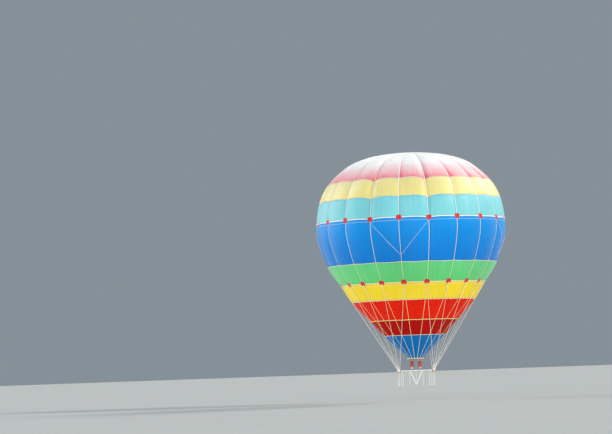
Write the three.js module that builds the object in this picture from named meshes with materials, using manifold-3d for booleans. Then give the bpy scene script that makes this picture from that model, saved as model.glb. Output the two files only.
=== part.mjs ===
// Tethered hot air balloon: a gored envelope of nine colour bands with a crown valve, a closed throat with two
// filling sleeves, and twenty stays down to a square load frame that carries the tether bridle.
// Millimetres, +Z up. The origin is the centre of the load frame, the front is -Y, and angles round the balloon
// are counted from the front towards +X.
import * as THREE from "three";
import { mergeVertices } from "three/addons/utils/BufferGeometryUtils.js";
import Module from "manifold-3d";

const wasm = await Module();
wasm.setup();

// Envelope
const GORES = 20;
const FACETS_PER_GORE = 3;
const FIRST_SEAM = THREE.MathUtils.degToRad(9);
const SHELL = 10;
const SEAM_GAP = 0.3;
const BULGE_HIGH = 0.018; // depth of a gore's bulge for each millimetre of radius, above the shoulder
const BULGE_LOW = 0.008; // the same on the cone
const BULGE_LOW_HEIGHT = 3700;
const BULGE_HIGH_HEIGHT = 6500;
const CROWN_SMOOTH_RADIUS = 1250; // no bulge inside this radius at the crown
const CROWN_FULL_RADIUS = 2500; // full bulge outside this one
const CROWN_HEIGHT = 10500;

// Outline of the middle of a gore from the throat to the apex. columns: radius, height
const OUTLINE = [
  [430, 665],
  [1600, 1870],
  [2310, 2660],
  [3225, 3690],
  [3835, 4585],
  [4485, 5610],
  [5000, 7150],
  [5010, 7910],
  [4830, 9040],
  [4320, 10000],
  [3340, 10890],
  [2340, 11315],
  [1100, 11520],
  [0, 11570],
];

// Crown opening, its valve and the tapes over it
const OPENING_RADIUS = 900;
const VALVE_RADIUS = 1050;
const VALVE_DROP = 26;
const VALVE_FACETS = 30;
const VALVE_ROWS = 3;
const CROWN_RING = { inner: 80, outer: 145, height: 22, lap: 4 };
const CROWN_TAPE = { width: 40, from: 120, to: 1160, low: 3.5, high: 8, steps: 3 };

// Bands of fabric. columns: name, colour, lower outline point, upper outline point, rows of facets
const BANDS = [
  ["band_throat_blue", 0x0367be, 0, 1, 1],
  ["band_dark_red", 0xa51411, 1, 2, 1],
  ["band_red", 0xd7260c, 2, 3, 1],
  ["band_lower_yellow", 0xeed33c, 3, 4, 2],
  ["band_green", 0x5dc669, 4, 5, 2],
  ["band_blue", 0x2090de, 5, 7, 3],
  ["band_turquoise", 0x82d7da, 7, 8, 2],
  ["band_upper_yellow", 0xf1e58e, 8, 9, 2],
];
const CROWN_ROWS = 4;
const STAY_POINT = 4;

// Girdles. columns: name, outline point, half width of the tape
const GIRDLES = [
  ["girdle_upper", 7, 28],
  ["girdle_stay_patches", STAY_POINT, 20],
];
// Distances of their tapes and round patches from the fabric
const TAPE = { low: 1, high: 6 };
const PATCH = { radius: 150, low: 3, high: 15, sides: 8 };

// Throat
const HEM = { top: 664.4, bottom: 505, topRadius: 427, bottomRadius: 382, wall: 10, facets: 30 };
const THROAT_PLATE = { radius: 369, bottom: 505, height: 10 };
const SLEEVE_OFFSET = 225;
const SLEEVE_FACETS = 14;
const SLEEVE_TOP = THROAT_PLATE.bottom - SEAM_GAP;
// Outline of a filling sleeve from its loose end up to the plate. columns: radius, height
const SLEEVE_OUTLINE = [
  [0, 115],
  [52, 115],
  [26, 168],
  [58, 205],
  [102, 275],
  [108, 350],
  [96, 430],
  [84, SLEEVE_TOP],
  [0, SLEEVE_TOP],
];

// Stays
const ROPE_RADIUS = 12.5;
const ROPE_SIDES = 6;
const STAY_KNOT = { radius: 26, length: 90 };
const STAY_DROP = 95; // the knot sits this far below the seam, on the patch
const STAY_STANDOFF = 43;
const SPREADER = { width: 140, depth: 44, height: 60, pitch: 26, meet: 35 };

// Load frame
const FRAME_HALF = 930;
const SIDE_RADIUS = 30;
const CROSS_RADIUS = 25;
const TUBE_SIDES = 12;
const CORNER = { half: 55, height: 72, socketRadius: 35, socketLength: 50 };

// Tether bridle under the frame
const BRIDLE = { reach: 300, width: 50, thickness: 8, bottom: -700, spread: 16 };
const WRAP_BORE = (CROSS_RADIUS + SEAM_GAP) / Math.cos(Math.PI / TUBE_SIDES);
const BRIDLE_KNOT = { radius: 38, height: 50 };
const TETHER_RING = { radius: 45, wire: 9, sides: 8, segments: 16 };

// Lines that hang free from the frame. columns: name, x, y, half thickness of what it hangs from, sway in x, in y
const LINE_RADIUS = 10;
const LINE_SIDES = 8;
const LINES = [
  ["line_front_left", -745, -930, SIDE_RADIUS, 1, -0.5],
  ["line_front_right", 745, -930, SIDE_RADIUS, 0.6, 0.5],
  ["line_back_left", -745, 930, SIDE_RADIUS, -0.8, 0.6],
  ["line_back_right", 745, 930, SIDE_RADIUS, -1, -0.4],
  ["line_left_front", -930, -745, SIDE_RADIUS, 0.4, 1],
  ["line_left_back", -930, 745, SIDE_RADIUS, -0.5, 0.7],
  ["line_right_front", 930, -745, SIDE_RADIUS, 0.8, -0.6],
  ["line_right_back", 930, 745, SIDE_RADIUS, -0.4, -1],
  ["tail_left", -345, 0, CROSS_RADIUS, -0.6, 0.3],
  ["tail_right", 345, 0, CROSS_RADIUS, 0.7, -0.3],
];
// Route of a hanging line, shared by all of them. columns: drop, sideways at full sway
const LINE_ROUTE = [
  [0, 0],
  [50, 0],
  [102, 1],
  [154, 3],
  [206, 6],
  [258, 10],
  [310, 14],
  [362, 18],
  [414, 21],
  [466, 23],
  [518, 24],
  [570, 24],
  [622, 22],
  [674, 19],
  [726, 15],
  [765, 12],
];

const COLOUR = {
  crown: 0xf8aeaf,
  valve: 0xf7e6e2,
  plate: 0x0367be,
  tape: 0xe9e4d8,
  patch: 0xcd282d,
  rope: 0xd8d0bc,
  frame: 0xe6e4de,
  steel: 0xb4b6b8,
};

const balloon = new THREE.Group();

function addMesh(name, geometry, color, roughness = 0.6, metalness = 0) {
  const material = new THREE.MeshStandardMaterial({ color, roughness, metalness });
  const mesh = new THREE.Mesh(geometry, material);
  mesh.name = name;
  balloon.add(mesh);
  return mesh;
}

// Joining of closed geometries into one body
function toSolid(geometry) {
  const bare = geometry.clone();
  bare.deleteAttribute("normal");
  bare.deleteAttribute("uv");
  const merged = mergeVertices(bare, 1e-4);
  const mesh = new wasm.Mesh({
    numProp: 3,
    vertProperties: new Float32Array(merged.attributes.position.array),
    triVerts: new Uint32Array(merged.index.array),
  });
  return new wasm.Manifold(mesh);
}

function joined(geometries, cutters = []) {
  let body = geometries.map(toSolid).reduce((sum, next) => sum.add(next));
  for (const cutter of cutters) {
    body = body.subtract(toSolid(cutter));
  }
  const mesh = body.getMesh();
  const geometry = new THREE.BufferGeometry();
  geometry.setAttribute("position", new THREE.BufferAttribute(new Float32Array(mesh.vertProperties), 3));
  geometry.setIndex(new THREE.BufferAttribute(new Uint32Array(mesh.triVerts), 1));
  return geometry;
}

// Envelope surface
const outline = new THREE.CatmullRomCurve3(
  OUTLINE.map(([radius, height]) => new THREE.Vector3(radius, height, 0)),
  false,
  "centripetal",
);

function outlineParameter(point) {
  return point / (OUTLINE.length - 1);
}

// Speed of the outline in millimetres for a full step of its parameter
function outlineSpeed(u) {
  const step = 1e-4;
  const low = Math.max(0, u - step);
  const high = Math.min(1, u + step);
  return outline.getPoint(high).distanceTo(outline.getPoint(low)) / (high - low);
}

function outlineAtRadius(radius) {
  let low = outlineParameter(OUTLINE.length - 3);
  let high = 1;
  for (let i = 0; i < 50; i += 1) {
    const middle = (low + high) / 2;
    if (outline.getPoint(middle).x > radius) {
      low = middle;
    } else {
      high = middle;
    }
  }
  return low;
}

function bulgeDepth(radius, height) {
  const rise = THREE.MathUtils.smoothstep(height, BULGE_LOW_HEIGHT, BULGE_HIGH_HEIGHT);
  const share = THREE.MathUtils.lerp(BULGE_LOW, BULGE_HIGH, rise);
  const crown = THREE.MathUtils.smoothstep(radius, CROWN_SMOOTH_RADIUS, CROWN_FULL_RADIUS);
  return share * radius * (height > CROWN_HEIGHT ? crown : 1);
}

// Radius and height of the fabric: lift is 0 on a seam and 1 in the middle of a gore, offset is outwards
function fabricPoint(u, lift, offset) {
  const middle = outline.getPoint(u);
  const tangent = outline.getTangent(u);
  const depth = bulgeDepth(middle.x, middle.y) * (1 - lift);
  const out = offset - depth;
  return new THREE.Vector2(middle.x + tangent.y * out, middle.y - tangent.x * out);
}

function columnLift(column) {
  const across = (column % FACETS_PER_GORE) / FACETS_PER_GORE;
  return 4 * across * (1 - across);
}

const COLUMNS = GORES * FACETS_PER_GORE;
const COLUMN_ANGLE = (2 * Math.PI) / COLUMNS;

// A ring that follows the gores. Its section is a closed run of [parameter, offset] pairs
function goredRing(section) {
  const blank = section.map(() => new THREE.Vector2(1, 0));
  const geometry = new THREE.LatheGeometry(blank, COLUMNS, FIRST_SEAM, 2 * Math.PI);
  const position = geometry.attributes.position;
  for (let column = 0; column <= COLUMNS; column += 1) {
    const angle = FIRST_SEAM + (column % COLUMNS) * COLUMN_ANGLE;
    const lift = columnLift(column);
    section.forEach(([u, offset], row) => {
      const point = fabricPoint(u, lift, offset);
      const index = column * section.length + row;
      position.setXYZ(index, point.x * Math.sin(angle), point.y, point.x * Math.cos(angle));
    });
  }
  return geometry.rotateX(Math.PI / 2);
}

// Point on the facets of the fabric at an angle round the balloon
function facetPoint(angle, u, offset) {
  const along = (angle - FIRST_SEAM) / COLUMN_ANGLE;
  const column = Math.floor(along + 1e-6);
  const corner = (index) => {
    const wrapped = ((index % COLUMNS) + COLUMNS) % COLUMNS;
    const point = fabricPoint(u, columnLift(wrapped), offset);
    const at = FIRST_SEAM + index * COLUMN_ANGLE;
    return new THREE.Vector3(point.x * Math.sin(at), -point.x * Math.cos(at), point.y);
  };
  return corner(column).lerp(corner(column + 1), along - column);
}

function bandSection(low, high, rows) {
  const trimmedLow = low + SEAM_GAP / 2 / outlineSpeed(low);
  const trimmedHigh = high - SEAM_GAP / 2 / outlineSpeed(high);
  const section = [];
  for (let row = 0; row <= rows; row += 1) {
    section.push([THREE.MathUtils.lerp(trimmedLow, trimmedHigh, row / rows), 0]);
  }
  for (let row = rows; row >= 0; row -= 1) {
    section.push([THREE.MathUtils.lerp(trimmedLow, trimmedHigh, row / rows), -SHELL]);
  }
  section.push(section[0]);
  return section;
}

for (const [name, color, lowPoint, highPoint, rows] of BANDS) {
  const section = bandSection(outlineParameter(lowPoint), outlineParameter(highPoint), rows);
  addMesh(name, goredRing(section), color);
}

// Crown
const openingParameter = outlineAtRadius(OPENING_RADIUS);
const crownStart = outlineParameter(BANDS.at(-1)[3]);
addMesh("band_crown", goredRing(bandSection(crownStart, openingParameter, CROWN_ROWS)), COLOUR.crown);

// The valve is a shallow dish that lies inside the crown and overlaps the edge of its opening
function valveDish() {
  const rim = outlineAtRadius(VALVE_RADIUS);
  const top = [];
  const bottom = [];
  for (let row = 0; row <= VALVE_ROWS; row += 1) {
    const u = THREE.MathUtils.lerp(rim, 1, row / VALVE_ROWS);
    top.push(fabricPoint(u, 1, -VALVE_DROP));
    bottom.unshift(fabricPoint(u, 1, -VALVE_DROP - SHELL));
  }
  top.at(-1).x = 0;
  bottom[0].x = 0;
  return new THREE.LatheGeometry([...bottom, ...top], VALVE_FACETS).rotateX(Math.PI / 2);
}

addMesh("crown_valve", valveDish(), COLOUR.valve);

// A tape over the crown opening along one seam, from the crown ring onto the fabric
function crownTape(angle) {
  const inner = outlineAtRadius(CROWN_TAPE.from);
  const outer = outlineAtRadius(CROWN_TAPE.to);
  const geometry = new THREE.BoxGeometry(CROWN_TAPE.width, 1, 1, 1, 1, CROWN_TAPE.steps);
  const position = geometry.attributes.position;
  for (let i = 0; i < position.count; i += 1) {
    const u = THREE.MathUtils.lerp(inner, outer, position.getZ(i) + 0.5);
    const offset = position.getY(i) > 0 ? CROWN_TAPE.high : CROWN_TAPE.low;
    const point = fabricPoint(u, 1, offset);
    position.setXYZ(i, position.getX(i), point.y, point.x);
  }
  return geometry.rotateX(Math.PI / 2).rotateZ(angle);
}

function crownRing() {
  const low = outline.getPoint(1).y + CROWN_TAPE.low - CROWN_RING.lap;
  const ring = new THREE.LatheGeometry(
    [
      new THREE.Vector2(CROWN_RING.inner, low),
      new THREE.Vector2(CROWN_RING.outer, low),
      new THREE.Vector2(CROWN_RING.outer, low + CROWN_RING.height),
      new THREE.Vector2(CROWN_RING.inner, low + CROWN_RING.height),
      new THREE.Vector2(CROWN_RING.inner, low),
    ],
    GORES,
  ).rotateX(Math.PI / 2);
  const tapes = [];
  for (let gore = 0; gore < GORES; gore += 1) {
    tapes.push(crownTape(FIRST_SEAM + (gore * 2 * Math.PI) / GORES));
  }
  return joined([ring, ...tapes]);
}

addMesh("crown_ring", crownRing(), COLOUR.tape, 0.5);

// Girdles: a tape round a band seam with a round patch on each gore seam
function patchAt(angle, u) {
  const geometry = new THREE.CylinderGeometry(PATCH.radius, PATCH.radius, 1, PATCH.sides);
  const position = geometry.attributes.position;
  const radius = fabricPoint(u, 0, 0).x;
  const speed = outlineSpeed(u);
  for (let i = 0; i < position.count; i += 1) {
    const offset = position.getY(i) > 0 ? PATCH.high : PATCH.low;
    const turn = angle + position.getX(i) / radius;
    const point = facetPoint(turn, u - position.getZ(i) / speed, offset);
    position.setXYZ(i, point.x, point.y, point.z);
  }
  return geometry;
}

function girdle(point, halfWidth) {
  const u = outlineParameter(point);
  const half = halfWidth / outlineSpeed(u);
  const ring = goredRing([
    [u - half, TAPE.high],
    [u + half, TAPE.high],
    [u + half, TAPE.low],
    [u - half, TAPE.low],
    [u - half, TAPE.high],
  ]);
  const patches = [];
  for (let gore = 0; gore < GORES; gore += 1) {
    patches.push(patchAt(FIRST_SEAM + (gore * 2 * Math.PI) / GORES, u));
  }
  return joined([ring, ...patches]);
}

for (const [name, point, halfWidth] of GIRDLES) {
  addMesh(name, girdle(point, halfWidth), COLOUR.patch);
}

// Throat
const hemOutline = [
  [HEM.bottomRadius, HEM.bottom],
  [HEM.topRadius, HEM.top],
  [HEM.topRadius - HEM.wall, HEM.top],
  [HEM.bottomRadius - HEM.wall, HEM.bottom],
  [HEM.bottomRadius, HEM.bottom],
].map(([radius, height]) => new THREE.Vector2(radius, height));
addMesh("throat_hem", new THREE.LatheGeometry(hemOutline, HEM.facets).rotateX(Math.PI / 2), COLOUR.tape);

const plate = new THREE.CylinderGeometry(THROAT_PLATE.radius, THROAT_PLATE.radius, THROAT_PLATE.height, HEM.facets);
const plateMesh = addMesh("throat_plate", plate.rotateX(Math.PI / 2), COLOUR.plate);
plateMesh.position.z = THROAT_PLATE.bottom + THROAT_PLATE.height / 2;

for (const [name, side] of [
  ["sleeve_left", -1],
  ["sleeve_right", 1],
]) {
  const points = SLEEVE_OUTLINE.map(([radius, height]) => new THREE.Vector2(radius, height));
  const sleeve = addMesh(name, new THREE.LatheGeometry(points, SLEEVE_FACETS).rotateX(Math.PI / 2), COLOUR.patch);
  sleeve.position.x = side * SLEEVE_OFFSET;
}

// A rod between two points
function rod(from, to, radius, sides) {
  const span = new THREE.Vector3().subVectors(to, from);
  const geometry = new THREE.CylinderGeometry(radius, radius, span.length(), sides);
  const turn = new THREE.Quaternion().setFromUnitVectors(new THREE.Vector3(0, 1, 0), span.clone().normalize());
  geometry.applyQuaternion(turn);
  const middle = new THREE.Vector3().addVectors(from, to).multiplyScalar(0.5);
  return geometry.translate(middle.x, middle.y, middle.z);
}

// Stays: the five ropes of the front right quarter meet side by side in a spreader block on the frame's corner
function stayCluster() {
  const centre = Math.PI / 4;
  const base = CORNER.height / 2 + SEAM_GAP;
  const block = new THREE.BoxGeometry(SPREADER.width, SPREADER.depth, SPREADER.height).rotateZ(centre);
  block.translate(FRAME_HALF, -FRAME_HALF, base + SPREADER.height / 2);
  const pieces = [block];
  const u = outlineParameter(STAY_POINT);
  for (let place = -2; place <= 2; place += 1) {
    const angle = centre + (place * 2 * Math.PI) / GORES;
    const top = facetPoint(angle, u - STAY_DROP / outlineSpeed(u), STAY_STANDOFF);
    const foot = new THREE.Vector3(
      FRAME_HALF + place * SPREADER.pitch * Math.cos(centre),
      -FRAME_HALF + place * SPREADER.pitch * Math.sin(centre),
      base + SPREADER.meet,
    );
    const down = new THREE.Vector3().subVectors(foot, top).normalize();
    const knotLow = top.clone().addScaledVector(down, STAY_KNOT.length / 2);
    const knotHigh = top.clone().addScaledVector(down, -STAY_KNOT.length / 2);
    pieces.push(rod(top, foot, ROPE_RADIUS, ROPE_SIDES));
    pieces.push(rod(knotHigh, knotLow, STAY_KNOT.radius, ROPE_SIDES));
  }
  return joined(pieces);
}

// Quarters of the balloon. columns: name, sign of x, sign of y, quarter turns from the front right
const QUARTERS = [
  ["front_left", -1, -1, 3],
  ["front_right", 1, -1, 0],
  ["back_left", -1, 1, 2],
  ["back_right", 1, 1, 1],
];
const cluster = stayCluster();
for (const [name, , , quarterTurns] of QUARTERS) {
  addMesh(`stays_${name}`, cluster.clone().rotateZ((quarterTurns * Math.PI) / 2), COLOUR.rope, 0.8);
}

// Load frame: corner blocks with sockets, side tubes between the sockets, and a cross
function cornerBlock(signX, signY) {
  const block = new THREE.BoxGeometry(2 * CORNER.half, 2 * CORNER.half, CORNER.height);
  const reach = CORNER.half + CORNER.socketLength;
  const centre = new THREE.Vector3(0, 0, 0);
  const alongX = rod(centre, new THREE.Vector3(-signX * reach, 0, 0), CORNER.socketRadius, TUBE_SIDES);
  const alongY = rod(centre, new THREE.Vector3(0, -signY * reach, 0), CORNER.socketRadius, TUBE_SIDES);
  return joined([block, alongX, alongY]);
}

for (const [name, signX, signY] of QUARTERS) {
  const corner = addMesh(`corner_${name}`, cornerBlock(signX, signY), COLOUR.frame, 0.35);
  corner.position.set(signX * FRAME_HALF, signY * FRAME_HALF, 0);
}

const sideHalf = FRAME_HALF - CORNER.half - CORNER.socketLength - SEAM_GAP;
// columns: name, x, y, turn about Z
const SIDES = [
  ["frame_front", 0, -FRAME_HALF, 0],
  ["frame_back", 0, FRAME_HALF, 0],
  ["frame_left", -FRAME_HALF, 0, Math.PI / 2],
  ["frame_right", FRAME_HALF, 0, Math.PI / 2],
];
for (const [name, x, y, turn] of SIDES) {
  const tube = new THREE.CylinderGeometry(SIDE_RADIUS, SIDE_RADIUS, 2 * sideHalf, TUBE_SIDES);
  const side = addMesh(name, tube.rotateZ(Math.PI / 2), COLOUR.frame, 0.35);
  side.position.set(x, y, 0);
  side.rotation.z = turn;
}

const crossHalf = FRAME_HALF - SIDE_RADIUS - SEAM_GAP;
const cross = joined([
  rod(new THREE.Vector3(-crossHalf, 0, 0), new THREE.Vector3(crossHalf, 0, 0), CROSS_RADIUS, TUBE_SIDES),
  rod(new THREE.Vector3(0, -crossHalf, 0), new THREE.Vector3(0, crossHalf, 0), CROSS_RADIUS, TUBE_SIDES),
]);
addMesh("frame_cross", cross, COLOUR.frame, 0.35);

// Bridle: four webbing legs, each with a wrap round the cross, sewn together over the tether ring
function bridleLeg(turn) {
  const wrapRadius = WRAP_BORE + BRIDLE.thickness;
  const wrap = new THREE.CylinderGeometry(wrapRadius, wrapRadius, BRIDLE.width, TUBE_SIDES);
  wrap.rotateZ(Math.PI / 2).translate(BRIDLE.reach, 0, 0);
  const top = new THREE.Vector3(BRIDLE.reach, 0, -CROSS_RADIUS / 2);
  const bottom = new THREE.Vector3(BRIDLE.spread, 0, BRIDLE.bottom);
  const span = new THREE.Vector3().subVectors(top, bottom);
  const leg = new THREE.BoxGeometry(BRIDLE.width, BRIDLE.thickness, span.length());
  leg.rotateY(Math.atan2(span.x, span.z));
  leg.translate((top.x + bottom.x) / 2, 0, (top.z + bottom.z) / 2);
  return [wrap.rotateZ(turn), leg.rotateZ(turn)];
}

function tetherBridle() {
  const knot = new THREE.CylinderGeometry(BRIDLE_KNOT.radius, BRIDLE_KNOT.radius, BRIDLE_KNOT.height, TUBE_SIDES);
  const pieces = [knot.rotateX(Math.PI / 2).translate(0, 0, BRIDLE.bottom)];
  for (let leg = 0; leg < 4; leg += 1) {
    pieces.push(...bridleLeg((leg * Math.PI) / 2));
  }
  const boreEnd = BRIDLE.reach + BRIDLE.width;
  const bores = [
    rod(new THREE.Vector3(-boreEnd, 0, 0), new THREE.Vector3(boreEnd, 0, 0), WRAP_BORE, TUBE_SIDES),
    rod(new THREE.Vector3(0, -boreEnd, 0), new THREE.Vector3(0, boreEnd, 0), WRAP_BORE, TUBE_SIDES),
  ];
  return joined(pieces, bores);
}

addMesh("tether_bridle", tetherBridle(), COLOUR.tape, 0.8);

const ring = new THREE.TorusGeometry(
  TETHER_RING.radius,
  TETHER_RING.wire,
  TETHER_RING.sides,
  TETHER_RING.segments,
);
const ringMesh = addMesh("tether_ring", ring.rotateX(Math.PI / 2), COLOUR.steel, 0.3, 1);
const ringReach = TETHER_RING.radius + TETHER_RING.wire + SEAM_GAP;
ringMesh.position.z = BRIDLE.bottom - BRIDLE_KNOT.height / 2 - ringReach;

// Lines that hang free
function hangingLine(x, y, below, swayX, swayY) {
  const top = -below - SEAM_GAP;
  const points = LINE_ROUTE.map(
    ([drop, aside]) => new THREE.Vector3(x + aside * swayX, y + aside * swayY, top - drop),
  );
  const section = new THREE.Shape();
  section.absarc(0, 0, LINE_RADIUS, 0, 2 * Math.PI, false);
  return new THREE.ExtrudeGeometry(section, {
    curveSegments: LINE_SIDES / 2,
    steps: LINE_ROUTE.length - 1,
    bevelEnabled: false,
    extrudePath: new THREE.CatmullRomCurve3(points),
  });
}

for (const [name, x, y, below, swayX, swayY] of LINES) {
  addMesh(name, hangingLine(x, y, below, swayX, swayY), COLOUR.rope, 0.8);
}

export default balloon;
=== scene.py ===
"""Looks of a tethered hot air balloon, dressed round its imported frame.

Metres, +Z up. The origin is the centre of the load frame and the front is -Y. A turn is an angle round the
balloon, counted from the front towards +X. A length on the envelope is measured along its outline from the
throat up.
"""

import logging
import math
from collections.abc import Callable, Iterable, Sequence
from dataclasses import dataclass
from enum import Enum
from functools import cache, cached_property

import bmesh
import bpy
import numpy as np
from mathutils import Matrix, Vector


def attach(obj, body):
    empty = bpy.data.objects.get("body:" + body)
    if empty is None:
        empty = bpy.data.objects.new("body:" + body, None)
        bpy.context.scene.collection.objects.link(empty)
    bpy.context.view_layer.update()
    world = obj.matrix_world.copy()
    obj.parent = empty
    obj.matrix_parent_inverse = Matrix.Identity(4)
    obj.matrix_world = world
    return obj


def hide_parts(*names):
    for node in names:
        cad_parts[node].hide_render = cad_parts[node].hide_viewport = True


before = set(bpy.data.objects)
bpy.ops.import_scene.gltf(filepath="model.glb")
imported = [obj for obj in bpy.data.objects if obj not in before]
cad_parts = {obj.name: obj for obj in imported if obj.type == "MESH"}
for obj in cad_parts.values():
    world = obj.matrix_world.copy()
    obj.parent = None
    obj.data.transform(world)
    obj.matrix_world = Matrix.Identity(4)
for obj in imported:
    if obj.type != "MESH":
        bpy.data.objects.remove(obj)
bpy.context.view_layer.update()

LOG = logging.getLogger("balloon")
FULL_TURN = 2.0 * math.pi
QUARTER_TURN = math.pi / 2.0
UP = Vector((0.0, 0.0, 1.0))
# Turns that lay a shape made along Z along X or Y
ALONG_X = Matrix.Rotation(QUARTER_TURN, 4, "Y")
ALONG_Y = Matrix.Rotation(QUARTER_TURN, 4, "X")
# Points closer than this are one point
MERGE_DISTANCE = 1e-5
# Smaller than any real difference
TINY = 1e-6
move = Matrix.Translation

Colour = tuple[int, int, int]
Span = tuple[float, float]
Array = np.ndarray
Places = Callable[[Array, Array], Array]
Shape = bmesh.types.BMesh
Socket = bpy.types.NodeSocket

# Soft noise keeps mostly to this range
NOISE_SPAN: Span = (0.3, 0.7)
WHOLE: Span = (0.0, 1.0)


class Body(Enum):
    """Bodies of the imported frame."""

    BALLOON = "balloon"
    VALVE = "valve"


class Slot(Enum):
    """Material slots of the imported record."""

    CROWN_PINK = "crown_pink"
    UPPER_YELLOW = "upper_yellow"
    TURQUOISE = "turquoise"
    BLUE = "blue"
    GREEN = "green"
    LOWER_YELLOW = "lower_yellow"
    RED = "red"
    DARK_RED = "dark_red"
    THROAT_BLUE = "throat_blue"
    VALVE_FABRIC = "valve_fabric"
    TAPE = "tape"
    PATCH_RED = "patch_red"
    SLEEVE_RED = "sleeve_red"
    ROPE = "rope"
    WEBBING = "webbing"
    FRAME_PAINT = "frame_paint"
    STEEL = "steel"


def linear(colour: Colour) -> tuple[float, float, float, float]:
    """Turns a screen colour into a shader's.

    Args:
        colour: Red, green and blue from 0 to 255.

    Returns:
        Linear red, green, blue and an alpha of 1.
    """
    parts = [part / 255.0 for part in colour]
    bright = [part / 12.92 if part <= 0.04045 else ((part + 0.055) / 1.055) ** 2.4 for part in parts]
    return (bright[0], bright[1], bright[2], 1.0)


def smoothstep(value: Array, low: float, high: float) -> Array:
    """A step that rises smoothly from 0 at low to 1 at high."""
    share = np.clip((value - low) / (high - low), 0.0, 1.0)
    return share * share * (3.0 - 2.0 * share)


def arch(share: Array) -> Array:
    """Rises from 0 to 1 in the middle and falls back to 0."""
    return 4.0 * share * (1.0 - share)


def nearest(share: Array, rows: int) -> Array:
    """The row that each share of the height falls on."""
    return np.rint(share * rows).astype(int)


@dataclass(frozen=True)
class HeightFade:
    """A paler colour that a finish turns into between two heights, with a mottled edge."""

    colour: Colour
    low: float
    high: float
    mottle: float = 0.1
    mottle_scale: float = 0.7


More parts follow.
